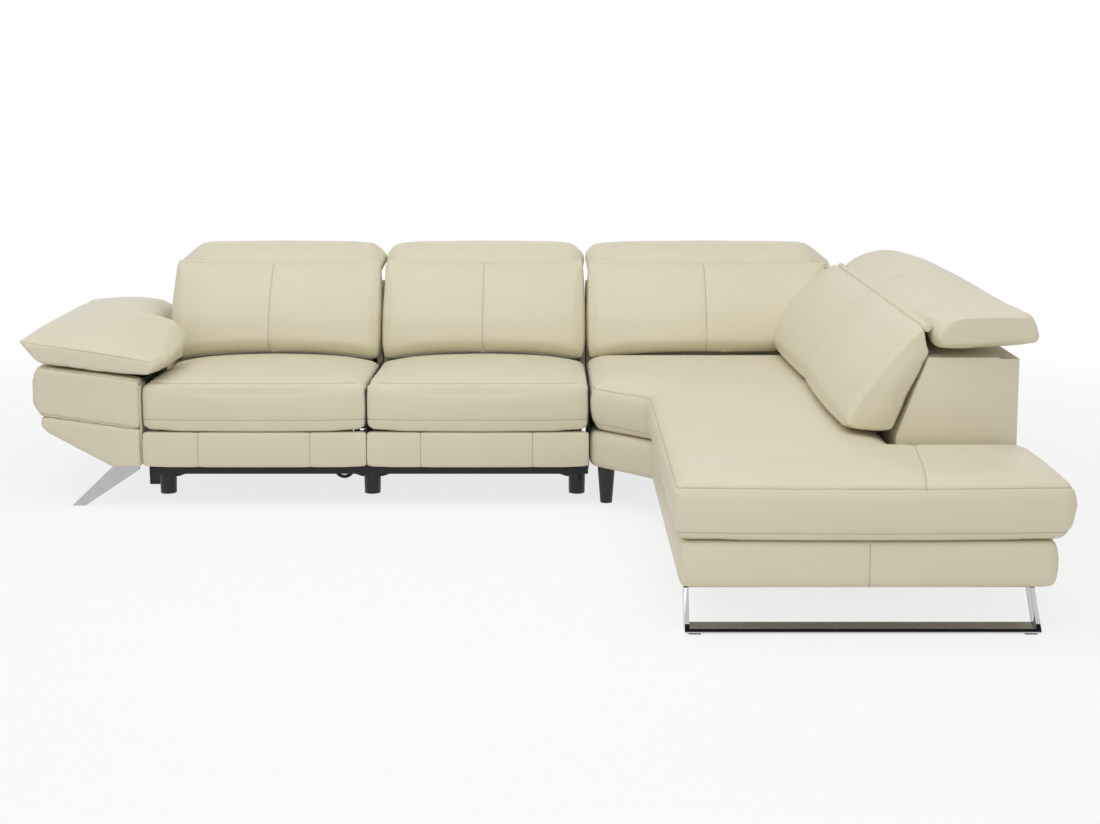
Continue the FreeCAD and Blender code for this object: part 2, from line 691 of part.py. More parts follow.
def make_seat_frame(side, left, plate_inset, pivot):
    thickness = dimension("plate_thickness")
    top = dimension("frame_top")
    bottom = dimension("frame_bottom")
    recline = (seat_front + dimension("recline_pivot_depth"), dimension("recline_pivot_height"))
    runner_top = rail_top + 32
    boss = 14
    profile = [
        (pivot[0] - boss, pivot[1] - boss), (pivot[0] + 100, pivot[1] - boss),
        (pivot[0] + 150, runner_top), (seat_rear - 35, runner_top), (seat_rear + 5, top - 60),
        (recline[0] + 4, recline[1] - 16), (recline[0] + 16, recline[1]), (recline[0] + 4, recline[1] + 16),
        (recline[0] - 15, recline[1] + 16), (seat_rear - 8, top), (pivot[0] - boss, top),
    ]
    window = [
        (pivot[0] + 170, runner_top + 22), (seat_rear - 60, runner_top + 22),
        (seat_rear - 60, bottom - 14), (pivot[0] + 130, bottom - 14),
    ]
    holes = [(pivot, pin_radius + clearance), (recline, pin_radius + 1 + clearance)]
    plates = []
    for hand, x in mirrored(left, plate_inset, thickness):
        name = "seat_plate_%s_%s" % (side, hand)
        plates.append(plate(name, "side", [profile, window], x, thickness, holes))

    inner = plate_inset + thickness
    width = seat_width - inner * 2
    tubes = []
    for name, y in (("front", seat_front + 85), ("rear", seat_rear - 45)):
        outer = box("cross_tube_%s_%s_outer" % (side, name), (left + inner, y, bottom),
                    (width, 25, top - bottom - 2))
        bore = box("cross_tube_%s_%s_bore" % (side, name), (left + inner, y + 2, bottom + 2),
                   (width, 21, top - bottom - 6))
        tubes.append(cut("cross_tube_%s_%s" % (side, name), outer, bore))

    straps = []
    count = 6
    pitch = (seat_rear - 8 - (pivot[0] - boss)) / count
    for index in range(count):
        straps.append(box("strap_%s_%d" % (side, index),
                          (left + plate_inset - 2, pivot[0] - boss + pitch * index + 6, top),
                          (seat_width - plate_inset * 2 + 4, pitch - 14, 2)))
    keep(group("seat_webbing_" + side, straps))

    # Runners under the side plates, and the channels that they slide in
    runners, tracks = [], []
    run_start, run_end = pivot[0] + 152, seat_rear - 38
    for hand, x in mirrored(left, plate_inset, 20):
        web_x = x + 6.5 if hand == "outer" else x + 0.5
        flange = box("runner_%s_%s_flange" % (side, hand), (x, run_start, runner_top - 5),
                     (20, run_end - run_start, 5))
        web = box("runner_%s_%s_web" % (side, hand), (web_x, run_start, rail_top + 3.2),
                  (13, run_end - run_start, runner_top - 5 - rail_top - 3.2))
        runners.append(fused("runner_%s_%s" % (side, hand), [flange, web]))
        trough = box("track_%s_%s_outer" % (side, hand), (web_x - 3.5, dimension("foot_front") + seat_front, rail_top),
                     (20, dimension("track_rear") - dimension("foot_front"), 22))
        slot = box("track_%s_%s_slot" % (side, hand), (web_x - 0.8, dimension("foot_front") + seat_front - 1, rail_top + 2.5),
                   (14.6, dimension("track_rear") - dimension("foot_front") + 2, 22))
        tracks.append(cut("track_%s_%s" % (side, hand), trough, slot))
    keep(group("slide_runners_" + side, runners))

    # Linear actuator: a tube on the base and a rod that pushes the seat frame forward
    middle = left + seat_width / 2
    height = rail_top + 52
    barrel = rod("actuator_%s_barrel" % side, (middle, seat_front + 330, height), 16, 255, "Y")
    bore = rod("actuator_%s_bore" % side, (middle, seat_front + 329, height), 10, 240, "Y")
    gearbox = box("actuator_%s_gearbox" % side, (middle - 26, seat_front + 540, rail_top + 30),
                  (52, 46, 44))
    motor = rod("actuator_%s_motor" % side, (middle + 22, seat_front + 563, height + 2), 19, 96, "X")
    foot = box("actuator_%s_foot" % side, (middle - 20, seat_front + 565, rail_top),
               (40, 24, 32))
    body = fused("actuator_%s_body" % side, [barrel, gearbox, motor, foot])
    actuator = cut("recline_actuator_" + side, body, bore)
    shaft = rod("actuator_%s_shaft" % side, (middle, seat_front + 92, height), 9.3, 330, "Y")
    hanger = box("actuator_%s_hanger" % side, (middle - 14, seat_front + 85, height - 14),
                 (28, 8, bottom - height + 14))
    keep(fused("recline_rod_" + side, [shaft, hanger]))

    # Pins that the back brackets turn on
    pins = []
    span = thickness * 2 + link_gap
    for hand, x in (("outer", left + plate_inset), ("inner", left + seat_width - plate_inset - span)):
        name = "recline_pin_%s_%s" % (side, hand)
        shank = rod(name + "_shank", (x - 2, *recline), pin_radius + 1, span + 4)
        heads = [rod(name + "_head_a", (x - 2.5, *recline), pin_radius + 4, 2),
                 rod(name + "_head_b", (x + span + 0.5, *recline), pin_radius + 4, 2)]
        pins.append(fused(name, [shank] + heads))
    keep(group("seat_frame_" + side, plates + tubes + pins))
    return recline, tracks, actuator


def make_back(side, left, start, plate_inset, recline):
    # Padded back cushion, its hollow shell and the brackets that hang it on the seat
    right = left + seat_width
    stop = right - unit_gap / 2
    keep(back_cushion("back_cushion_" + side, "X", hinge_line, dimension("hinge_setback"), start, stop))
    keep(bolster("headrest_" + side, "X", headrest_profile(hinge_line, dimension("headrest_length")),
                 padded_stations(start, stop, dimension("headrest_side_drop"))))
    leaf_hinge("headrest_hinge_back_" + side, "headrest_hinge_pad_" + side, "X",
               (left + 60, right - 60), (hinge_line, hinge_height), (-82, 88.6), (-63.5, 60))
    depth = dimension("shell_depth")
    wall = dimension("shell_wall")
    outer = shell_profile(hinge_line, depth, dimension("shell_bottom"))
    inner_points = [
        (hinge_line - 140, dimension("shell_bottom") - 60),
        (hinge_line + depth - wall, dimension("shell_bottom") - 60),
        (hinge_line + depth - wall, dimension("shell_height") - wall - 24),
        (hinge_line + depth - wall - 44, dimension("shell_height") - wall),
        (hinge_line + 21, dimension("shell_height") - wall),
        (hinge_line - 62, dimension("back_underside")),
        (hinge_line - 140, dimension("back_underside")),
    ]
    shell_left = left + unit_gap
    shell_width = seat_width - unit_gap * 2
    solid = plate("back_shell_%s_form" % side, "side", [outer], shell_left, shell_width)
    rounded(solid, 16, lambda edge: upright(Vector(1, 0, 0))(edge)
            and edge.CenterOfMass.y > float(shell_rear) - 60 and edge.CenterOfMass.z > 500)
    hollow = plate("back_shell_%s_hollow" % side, "side", [inner_points], shell_left + wall, shell_width - wall * 2)
    keep(cut("back_shell_" + side, solid, hollow))

    thickness = dimension("plate_thickness")
    bracket = [
        (recline[0] - 14, recline[1] - 14), (recline[0] + 14, recline[1] - 14),
        (shell_rear - wall, recline[1] - 40), (shell_rear - wall, recline[1] + 60),
        (recline[0] + 30, recline[1] + 16), (recline[0] - 14, recline[1] + 14),
    ]
    brackets = []
    inset = plate_inset + thickness + link_gap
    for hand, x in mirrored(left, inset, thickness):
        brackets.append(plate("back_bracket_%s_%s" % (side, hand), "side", [bracket], x, thickness,
                              [(recline, pin_radius + 1 + clearance)]))
    keep(group("back_brackets_" + side, brackets))


def back_cushion(name, axis, hinge, setback, start, end):
    # The front face flattens and the foot draws back towards both ends
    bulge = dimension("back_bulge")
    drop = float(dimension("back_side_drop"))
    sections = []
    for position, inset in padded_stations(start, end, drop):
        share = inset / drop
        sections.append((position, [
            (hinge - setback + inset * 0.6, dimension("back_foot_height") + inset * 0.4, 2),
            (hinge - 88, dimension("back_underside") + inset * 0.15, 0),
            (hinge + 9.3, dimension("shell_height") + 2, 0),
            (hinge - 6, hinge_height - 7 - inset * 0.15, bulge * (1 - 0.8 * share)),
        ]))
    return lofted(name, axis, sections)


def headrest_profile(hinge, length):
    edge = dimension("headrest_edge")
    underside = dimension("headrest_underside")
    return [
        (hinge + 4, hinge_height + 3, 0),
        (hinge + 32, underside, 0),
        (hinge + length - 13, underside + 12, 13),
        (hinge + length - 13, edge, dimension("headrest_crown")),
    ]


def shell_profile(hinge, depth, bottom):
    top = dimension("shell_height")
    return [
        (hinge - 75, bottom), (hinge + depth - 10, bottom), (hinge + depth, bottom + 15),
        (hinge + depth, top - 34), (hinge + depth - 50, top), (hinge + 9, top),
        (hinge - 75, dimension("back_underside") - 4),
    ]


def make_recliner(side, left, back_start):
    make_seat_cushion(side, left)
    plate_inset, pivot = make_footrest(side, left)
    recline, tracks, actuator = make_seat_frame(side, left, plate_inset, pivot)
    make_back(side, left, back_start, plate_inset, recline)
    return tracks, [actuator]


# Corner and chaise
def make_corner():
    start = corner_left + unit_gap / 2
    body_end = chaise_outer
    diagonal = dimension("inner_corner_depth")
    seat_plan = [
        (start, seat_front + 18, 0), (chaise_left, seat_front - diagonal, 0),
        (chaise_left, chaise_front, dimension("chaise_bulge")), (chaise_right - 6, chaise_front, 6),
        (chaise_right - 6, chaise_back_near - 12, 0), (chaise_hinge - 84, chaise_back_near - 12, 0),
        (chaise_hinge - 84, seat_rear, 0), (start, seat_rear, 0),
    ]
    seam = dimension("chaise_seam_height")
    crown = dimension("seat_rear_height")
    levels = [(seat_bottom, 34), (seat_bottom + 20, 17), (seat_bottom + 50, 6), (seat_bottom + 95, 0),
              (seam, 4), (seam + 18, 26), (crown - 5, 70), (crown, 150)]
    points = plain_points(seat_plan)
    keep(lofted("corner_seat_cushion", "Z", [(z, drawn_in(points, inset)) for z, inset in levels]))
    straight = drawn_in([(a, b, 0) for a, b, _ in points], 48)
    deck = lofted("corner_deck", "Z", [(base_top - 1, straight), (seat_bottom - 0.3, straight)])

    side = chaise_left + dimension("chaise_base_inset")
    base_plan = [
        (start, seat_front + 35, 0), (side - 4, seat_front - diagonal - 12, 0),
        (side, chaise_front + 10, 6), (chaise_right - 41, chaise_front + 10, 4),
        (chaise_right - 41, chaise_back_near - 12, 0), (body_end, chaise_back_near - 10, 0),
        (body_end, shell_rear, 0), (start, shell_rear, 0),
    ]
    points = plain_points(base_plan)
    levels = [(panel_bottom, 12), (panel_bottom + 12, 2), (panel_bottom + 40, 0),
              (base_top - 30, 0), (base_top - 6, 3), (base_top, 12)]
    plinth = lofted("corner_plinth", "Z", [(z, drawn_in(points, inset)) for z, inset in levels])
    keep(fused("corner_base", [plinth, deck]))

    # Back bodies stand on the base
    shell = shell_profile(hinge_line, dimension("shell_depth"), base_top)
    keep(rounded(plate("corner_back_shell", "side", [shell], corner_left + unit_gap, body_end - corner_left - unit_gap),
                 16, lambda edge: upright(Vector(1, 0, 0))(edge)
                 and edge.CenterOfMass.y > float(shell_rear) - 60 and edge.CenterOfMass.z > 500))
    shell = shell_profile(chaise_hinge, dimension("chaise_shell_depth"), base_top)
    length = hinge_line - 75 - seam_gap / 3 - chaise_back_near
    keep(rounded(plate("chaise_back_shell", "front", [list(reversed(shell))], chaise_back_near, length),
                 16, lambda edge: upright(Vector(0, 1, 0))(edge)
                 and edge.CenterOfMass.x > float(chaise_outer) - 60 and edge.CenterOfMass.z > 500))

    # Cushions and headrests of the corner and the chaise
    mitre = chaise_hinge - 8
    form = back_cushion("back_cushion_corner_form", "X", hinge_line, dimension("hinge_setback"), start, mitre + 60)
    setback = dimension("chaise_back_setback")
    low, high = dimension("back_foot_height"), hinge_height
    slope = float(setback) / (float(high) - float(low))
    gap = float(dimension("mitre_gap"))
    foot, top, far = float(low) - 60, float(high) + 62, float(chaise_outer)
    wedge = outline([
        (float(chaise_hinge) - gap - slope * (float(high) - foot), foot, 0), (far, foot, 0),
        (far, top, 0), (float(chaise_hinge) - gap + slope * (top - float(high)), top, 0),
    ], lambda a, b: Vector(a, float(seat_front), b))
    wedge = feature("back_mitre_tool", Part.Face(wedge).extrude(Vector(0, float(rear_edge) - float(seat_front), 0)))
    keep(cut("back_cushion_corner", form, wedge))
    form = back_cushion("back_cushion_chaise_form", "Y", chaise_hinge, setback,
                        chaise_back_near - 10, hinge_line - 12)
    shell_slope = 84 / 220
    behind = plate("chaise_cushion_end_tool", "side", [[
        (hinge_line - 77 - 50 * shell_slope, dimension("back_underside") - 54),
        (hinge_line + 100, dimension("back_underside") - 54),
        (hinge_line + 100, hinge_height + 62), (hinge_line - 77 + 370 * shell_slope, hinge_height + 62),
    ]], chaise_left, chaise_width)
    keep(cut("back_cushion_chaise", form, behind))
    keep(bolster("headrest_corner", "X", headrest_profile(hinge_line, dimension("headrest_length")),
                 padded_stations(start, mitre, dimension("headrest_side_drop"))))
    keep(bolster("headrest_chaise", "Y", headrest_profile(chaise_hinge, dimension("chaise_headrest_length")),
                 padded_stations(chaise_back_near - 30, hinge_line - 35, dimension("headrest_side_drop"))))
    leaf_hinge("headrest_hinge_back_corner", "headrest_hinge_pad_corner", "X",
               (start + 60, mitre - 90), (hinge_line, hinge_height), (-82, 88.6), (-63.5, 60))
    leaf_hinge("headrest_hinge_back_chaise", "headrest_hinge_pad_chaise", "Y",
               (chaise_back_near + 60, hinge_line - 120), (chaise_hinge, hinge_height), (-82, 88.6), (-63.5, 60))


def make_corner_legs():
    top = dimension("corner_leg_top")
    foot = dimension("corner_leg_foot")
    near = (corner_left + 59, seat_front + 66)
    hidden = [(corner_left + 59, shell_rear - 70), (chaise_outer - 70, shell_rear - 70),
              (chaise_outer - 70, chaise_back_near + 60), (chaise_left + 120, chaise_back_near + 60)]
    cones = []
    for index, (x, y) in enumerate([near] + hidden):
        cone = document.addObject("Part::Cone", "corner_leg_%d" % index)
        bind(cone, Radius1=foot, Radius2=top, Height=panel_bottom)
        move_to(cone, x, y, 0)
        cones.append(cone)
    keep(group("corner_legs", cones))


def make_sled():
    # Closed loop of flat bar with a slanted outer upright
    bar = dimension("sled_bar")
    glide = dimension("glide_height")
    left_top, right_top = chaise_left + 38, chaise_right - 92
    left_foot, right_foot = left_top + 4, right_top + 24
    outer = [(left_foot, glide), (right_foot, glide), (right_top, panel_bottom), (left_top, panel_bottom)]
    lean = (right_foot - right_top) / (panel_bottom - glide)
    inner = [
        (left_foot + bar, glide + bar), (right_foot - bar - lean * bar, glide + bar),
        (right_top - bar + lean * 8, panel_bottom - 8), (left_top + bar, panel_bottom - 8),
    ]
    start = chaise_front + dimension("sled_setback")
    keep(rounded(plate("sled_leg", "front", [outer, inner], start, dimension("sled_depth")), 5,
                 lambda edge: upright(Vector(0, 1, 0))(edge) and edge.CenterOfMass.z < float(glide) + 1))
    glides = []
    for index, x in enumerate((left_foot + 10, right_foot - 42)):
        for row, y in enumerate((start + 6, start + dimension("sled_depth") - 22)):
            glides.append(box("glide_%d%d" % (index, row), (x, y, 0), (32, 16, glide)))
    keep(group("sled_glides", glides))


def make_connectors():
    # Brackets that join the units under the seats
    near = seat_front + 400
    inset = dimension("foot_inset")
    plates = [
        box("corner_connector_near", (corner_left - inset - 2, near, rail_top),
            (inset + 60, 60, panel_bottom - rail_top)),
        box("arm_connector_near", (left_seat - 12, near, rail_top), (inset + 12, 60, 20)),
    ]
    keep(group("unit_connectors", plates))


def make_cable():
    # Short cable loop between two cable clips under the front rail
    radius = float(dimension("cable_radius"))
    bend = float(dimension("cable_bend"))
    x = float(middle_seat) - 98
    y = float(dimension("foot_front") + seat_front) + 12
    top = float(dimension("foot_height"))
    drop = 8
    start, end = Vector(x - bend, y, top), Vector(x + bend, y, top)
    low_start, low_end = start - Vector(0, 0, drop), end - Vector(0, 0, drop)
    bottom = Vector(x, y, top - drop - bend)
    quarter = bend * math.sqrt(0.5)
    arcs = [
        Part.LineSegment(start, low_start),
        Part.Arc(low_start, Vector(x - quarter, y, top - drop - quarter), bottom),
        Part.Arc(bottom, Vector(x + quarter, y, top - drop - quarter), low_end),
        Part.LineSegment(low_end, end),
    ]
    path = Part.Wire([part.toShape() for part in arcs])
    corners = [start + Vector(radius * math.cos(turn), radius * math.sin(turn), 0)
               for turn in (math.radians(45 * step) for step in range(9))]
    ring = Part.makePolygon(corners)
    keep(feature("power_cable_loop", path.makePipeShell([ring], True, False)))


make_arm()
make_arm_pad()
make_recliner_base()
left_tracks, left_actuator = make_recliner("left", left_seat, left_seat - dimension("back_overhang"))
middle_tracks, middle_actuator = make_recliner("middle", middle_seat, middle_seat + unit_gap / 2)
keep(group("slide_tracks", left_tracks + middle_tracks))
keep(group("recline_actuators", left_actuator + middle_actuator))
make_corner()
make_corner_legs()
make_sled()
make_connectors()
make_cable()
document.recompute()

# Nothing is written unless every object and every piece is sound
for item in document.Objects:
    if "Invalid" in item.State or "Error" in item.State:
        raise RuntimeError("%s failed: %s" % (item.Name, item.State))
for piece in finished:
    shape = piece.Shape
    if shape.isNull() or not shape.isValid() or not shape.Solids:
        raise RuntimeError("%s has no sound shape" % piece.Name)
os.makedirs("parts", exist_ok=True)
for piece in finished:
    piece.Label = piece.Name
    piece.Shape.exportStep("parts/%s.step" % piece.Name)
whole = Part.makeCompound([piece.Shape for piece in finished]).BoundBox
print("%d nodes, x %.1f to %.1f, y %.1f to %.1f, z %.1f to %.1f" % (
    len(finished), whole.XMin, whole.XMax, whole.YMin, whole.YMax, whole.ZMin, whole.ZMax))
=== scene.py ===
import json
import math
import bmesh
import bpy
import numpy as np
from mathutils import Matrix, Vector

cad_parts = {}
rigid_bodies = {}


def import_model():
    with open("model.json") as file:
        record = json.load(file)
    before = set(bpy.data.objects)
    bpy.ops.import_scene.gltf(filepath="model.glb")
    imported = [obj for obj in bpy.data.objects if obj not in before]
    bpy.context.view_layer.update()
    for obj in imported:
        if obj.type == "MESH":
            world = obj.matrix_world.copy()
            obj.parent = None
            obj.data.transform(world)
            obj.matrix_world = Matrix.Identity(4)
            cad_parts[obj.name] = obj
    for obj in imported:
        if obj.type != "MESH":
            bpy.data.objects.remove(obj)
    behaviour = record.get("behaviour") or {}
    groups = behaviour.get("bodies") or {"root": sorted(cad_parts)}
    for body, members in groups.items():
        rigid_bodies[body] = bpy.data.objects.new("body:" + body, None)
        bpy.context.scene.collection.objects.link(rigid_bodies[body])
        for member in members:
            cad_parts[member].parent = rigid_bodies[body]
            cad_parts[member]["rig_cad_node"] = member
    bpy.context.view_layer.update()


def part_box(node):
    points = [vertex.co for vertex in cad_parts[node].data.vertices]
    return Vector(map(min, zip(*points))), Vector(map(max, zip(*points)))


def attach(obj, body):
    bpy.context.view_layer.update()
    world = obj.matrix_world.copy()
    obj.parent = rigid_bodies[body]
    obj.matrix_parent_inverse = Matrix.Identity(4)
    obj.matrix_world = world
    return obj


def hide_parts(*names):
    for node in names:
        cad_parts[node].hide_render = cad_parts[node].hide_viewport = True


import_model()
scene = bpy.context.scene


# Small helpers
def selectOnly(piece):
    bpy.ops.object.select_all(action="DESELECT")
    piece.hide_set(False)
    piece.select_set(True)
    bpy.context.view_layer.objects.active = piece


def withModifier(piece, kind, **settings):
    selectOnly(piece)
    modifier = piece.modifiers.new(kind.lower(), kind)
    for name, value in settings.items():
        setattr(modifier, name, value)
    bpy.ops.object.modifier_apply(modifier=modifier.name)


def copyOfNodes(name, nodes):
    # One mesh from the frame's nodes, with the loose triangles joined up
    mesh = bmesh.new()
    for node in nodes:
        mesh.from_mesh(bpy.data.objects[node].data)
    bmesh.ops.remove_doubles(mesh, verts=mesh.verts, dist=0.00002)
    data = bpy.data.meshes.new(name)
    mesh.to_mesh(data)
    mesh.free()
    piece = bpy.data.objects.new(name, data)
    scene.collection.objects.link(piece)
    return piece


def places(piece):
    found = np.empty(len(piece.data.vertices) * 3)
    piece.data.vertices.foreach_get("co", found)
    return found.reshape(-1, 3)


def setPlaces(piece, where):
    piece.data.vertices.foreach_set("co", where.ravel())
    piece.data.update()


def softenEdges(piece, width, segments, angle, **settings):
    withModifier(piece, "BEVEL", width=width, segments=segments, limit_method="ANGLE",
                 angle_limit=math.radians(angle), **settings)


def dress(piece, material, body, nodes=(), creaseAngle=None):
    # Smooth shading, the finish, and what the piece rides on and stands for
    selectOnly(piece)
    if creaseAngle is None:
        bpy.ops.object.shade_smooth()
    else:
        bpy.ops.object.shade_smooth_by_angle(angle=math.radians(creaseAngle))
    piece.data.materials.clear()
    piece.data.materials.append(material)
    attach(piece, body)
    if nodes:
        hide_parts(*nodes)
    return piece


# Materials
def socketGroup(name, inputs, outputs):
    group = bpy.data.node_groups.new(name, "ShaderNodeTree")
    for label, kind, start in inputs:
        socket = group.interface.new_socket(label, in_out="INPUT", socket_type=kind)
        if start is not None:
            socket.default_value = start
    for label, kind in outputs:
        group.interface.new_socket(label, in_out="OUTPUT", socket_type=kind)
    return group, group.nodes.new("NodeGroupInput"), group.nodes.new("NodeGroupOutput")


def addNode(tree, kind, settings=None, **inputs):
    node = tree.nodes.new(kind)
    for name, value in (settings or {}).items():
        setattr(node, name, value)
    for name, value in inputs.items():
        key = int(name[1:]) if name[0] == "i" and name[1:].isdigit() else name.replace("_", " ")
        if isinstance(value, bpy.types.NodeSocket):
            tree.links.new(value, node.inputs[key])
        else:
            node.inputs[key].default_value = value
    return node


def calculate(tree, operation, first, second=0.0):
    return addNode(tree, "ShaderNodeMath", {"operation": operation}, i0=first, i1=second).outputs[0]


def mixColours(tree, share, first, second):
    node = addNode(tree, "ShaderNodeMix", {"data_type": "RGBA"}, i0=share, i6=first, i7=second)
    return node.outputs[2]


def softStep(tree, value, start, stop, first, last):
    # Runs softly from the first value to the last between two marks
    node = addNode(tree, "ShaderNodeMapRange", {"interpolation_type": "SMOOTHSTEP"}, Value=value,
                   From_Min=start, From_Max=stop, To_Min=first, To_Max=last)
    return node.outputs["Result"]


hide = {"poreSize": 700.0, "poreWeight": 1.6, "roughSize": 260.0, "roughWeight": 0.7,
        "patchSize": 2.6, "patchRoughness": 0.55, "creaseSize": 11.0, "creaseSway": 0.6}


def makeGrain():
    # Fine hide grain with slow waves and soft patches of tone
    group, start, end = socketGroup(
        "hideGrain",
        [("Vector", "NodeSocketVector", None), ("Pore Size", "NodeSocketFloat", hide["poreSize"])],
        [("Grain", "NodeSocketFloat"), ("Patches", "NodeSocketFloat"), ("Creases", "NodeSocketFloat")])
    vector, poreSize = start.outputs["Vector"], start.outputs["Pore Size"]
    pores = addNode(group, "ShaderNodeTexVoronoi", {"feature": "DISTANCE_TO_EDGE"},
                    Vector=vector, Scale=poreSize)
    rough = addNode(group, "ShaderNodeTexNoise", Vector=vector, Scale=hide["roughSize"], Detail=3.0)
    edge = calculate(group, "MULTIPLY", pores.outputs["Distance"], hide["poreWeight"])
    grain = calculate(group, "ADD", edge,
                      calculate(group, "MULTIPLY", rough.outputs["Fac"], hide["roughWeight"]))
    patches = addNode(group, "ShaderNodeTexNoise", Vector=vector, Scale=hide["patchSize"], Detail=4.0,
                      Roughness=hide["patchRoughness"])
    waves = addNode(group, "ShaderNodeTexNoise", Vector=vector, Scale=hide["creaseSize"], Detail=2.0,
                    Distortion=hide["creaseSway"])
    group.links.new(grain, end.inputs["Grain"])
    group.links.new(patches.outputs["Fac"], end.inputs["Patches"])
    group.links.new(waves.outputs["Fac"], end.inputs["Creases"])
    return group


sewing = {"reach": 0.03, "rowOffset": 0.005, "stitchLength": 0.006, "stitchShare": 0.62,
          "line": (0.0004, 0.0016), "row": (0.0002, 0.0009), "rowDepth": -0.35, "threadHeight": 0.5,
          # How deep the leather is drawn in at a seam, softly and close by it
          "soft": 0.0022, "width": 0.016, "fine": 0.0016, "fineWidth": 0.004, "weld": 0.0004, "least": 0.25}


def makeSeam():
    # A sewn line and the rows of stitches beside it, from how near the surface is to a seam
    group, start, end = socketGroup(
        "sewnSeam",
        [("Nearness", "NodeSocketFloat", 0.0), ("Run", "NodeSocketFloat", 0.0),
         ("Reach", "NodeSocketFloat", sewing["reach"]),
         ("Row Offset", "NodeSocketFloat", sewing["rowOffset"]),
         ("Stitch Length", "NodeSocketFloat", sewing["stitchLength"])],
        [("Line", "NodeSocketFloat"), ("Thread", "NodeSocketFloat"), ("Height", "NodeSocketFloat")])
    gone = calculate(group, "SUBTRACT", 1.0, start.outputs["Nearness"])
    distance = calculate(group, "MULTIPLY", gone, start.outputs["Reach"])
    line = softStep(group, distance, *sewing["line"], 1.0, 0.0)
    aside = calculate(group, "ABSOLUTE", calculate(group, "SUBTRACT", distance, start.outputs["Row Offset"]))
    row = softStep(group, aside, *sewing["row"], 1.0, 0.0)
    steps = calculate(group, "DIVIDE", start.outputs["Run"], start.outputs["Stitch Length"])
    dash = calculate(group, "LESS_THAN", calculate(group, "FRACT", steps), sewing["stitchShare"])
    thread = calculate(group, "MULTIPLY", row, dash)
    sunk = calculate(group, "MULTIPLY", row, sewing["rowDepth"])
    height = calculate(group, "ADD", calculate(group, "SUBTRACT", sunk, line),
                       calculate(group, "MULTIPLY", thread, sewing["threadHeight"]))
    group.links.new(line, end.inputs["Line"])
    group.links.new(thread, end.inputs["Thread"])
    group.links.new(height, end.inputs["Height"])
    return group


def newMaterial(name):
    material = bpy.data.materials.new(name)
    material.use_nodes = True
    tree = material.node_tree
    return material, tree, tree.nodes["Principled BSDF"]


hideGrain = makeGrain()
sewnSeam = makeSeam()

leather = {
    "light": (0.768, 0.718, 0.556, 1.0),
    "deep": (0.705, 0.645, 0.480, 1.0),
    # Painted shade in the seam's crease
    "line": (0.36, 0.29, 0.175, 1.0),
    "thread": (0.80, 0.75, 0.60, 1.0),
    "poreSize": 520.0, "poreShare": 0.07, "seamShadeShare": 0.5, "threadShare": 0.55,
    "roughness": 0.40, "patchRoughness": 0.12, "specular": 0.42, "sheen": 0.05,
    "grainDepth": 0.00012, "seamDepth": 0.0011, "creaseDepth": 0.0012, "bump": 0.9,
}


def makeLeather():
    material, tree, shader = newMaterial("ivoryLeather")
    coordinates = addNode(tree, "ShaderNodeTexCoord").outputs["Object"]
    grain = addNode(tree, "ShaderNodeGroup", {"node_tree": hideGrain}, Vector=coordinates,
                    Pore_Size=leather["poreSize"])
    near = addNode(tree, "ShaderNodeAttribute", {"attribute_name": "seamNearness"}).outputs["Fac"]
    run = addNode(tree, "ShaderNodeAttribute", {"attribute_name": "seamRun"}).outputs["Fac"]
    seam = addNode(tree, "ShaderNodeGroup", {"node_tree": sewnSeam}, Nearness=near, Run=run,
                   Reach=sewing["reach"])
    colour = mixColours(tree, grain.outputs["Patches"], leather["light"], leather["deep"])
    # Grain tone, painted shade in the seam's crease, and the thread's own colour
    for source, share, tint in ((grain.outputs["Grain"], leather["poreShare"], leather["deep"]),
                                (seam.outputs["Line"], leather["seamShadeShare"], leather["line"]),
                                (seam.outputs["Thread"], leather["threadShare"], leather["thread"])):
        colour = mixColours(tree, calculate(tree, "MULTIPLY", source, share), colour, tint)
    tree.links.new(colour, shader.inputs["Base Color"])
    patchy = calculate(tree, "MULTIPLY", grain.outputs["Patches"], leather["patchRoughness"])
    tree.links.new(calculate(tree, "ADD", leather["roughness"], patchy), shader.inputs["Roughness"])
    shader.inputs["Specular IOR Level"].default_value = leather["specular"]
    shader.inputs["Sheen Weight"].default_value = leather["sheen"]
    height = calculate(tree, "MULTIPLY", grain.outputs["Grain"], leather["grainDepth"])
    for source, depth in ((seam.outputs["Height"], leather["seamDepth"]),
                          (grain.outputs["Creases"], leather["creaseDepth"])):
        height = calculate(tree, "ADD", height, calculate(tree, "MULTIPLY", source, depth))
    bump = addNode(tree, "ShaderNodeBump", Height=height, Strength=leather["bump"], Distance=1.0)
    tree.links.new(bump.outputs["Normal"], shader.inputs["Normal"])
    return material


metals = {
    "darkSteel": {"colour": (0.018, 0.018, 0.021), "metallic": 0.4, "roughness": 0.45},
    "paleMetal": {"colour": (0.56, 0.56, 0.575), "metallic": 0.85, "roughness": 0.36, "streaks": 12.0},
    "brightChrome": {"colour": (0.62, 0.62, 0.64), "metallic": 1.0, "roughness": 0.14},
    "blackPlastic": {"colour": (0.014, 0.013, 0.016), "metallic": 0.0, "roughness": 0.42},
    "cableSheath": {"colour": (0.012, 0.012, 0.013), "metallic": 0.0, "roughness": 0.55},
}
metalSurface = {"grain": 60.0, "darker": 0.8, "spread": 0.16, "bump": 0.12, "bumpHeight": 0.0004}


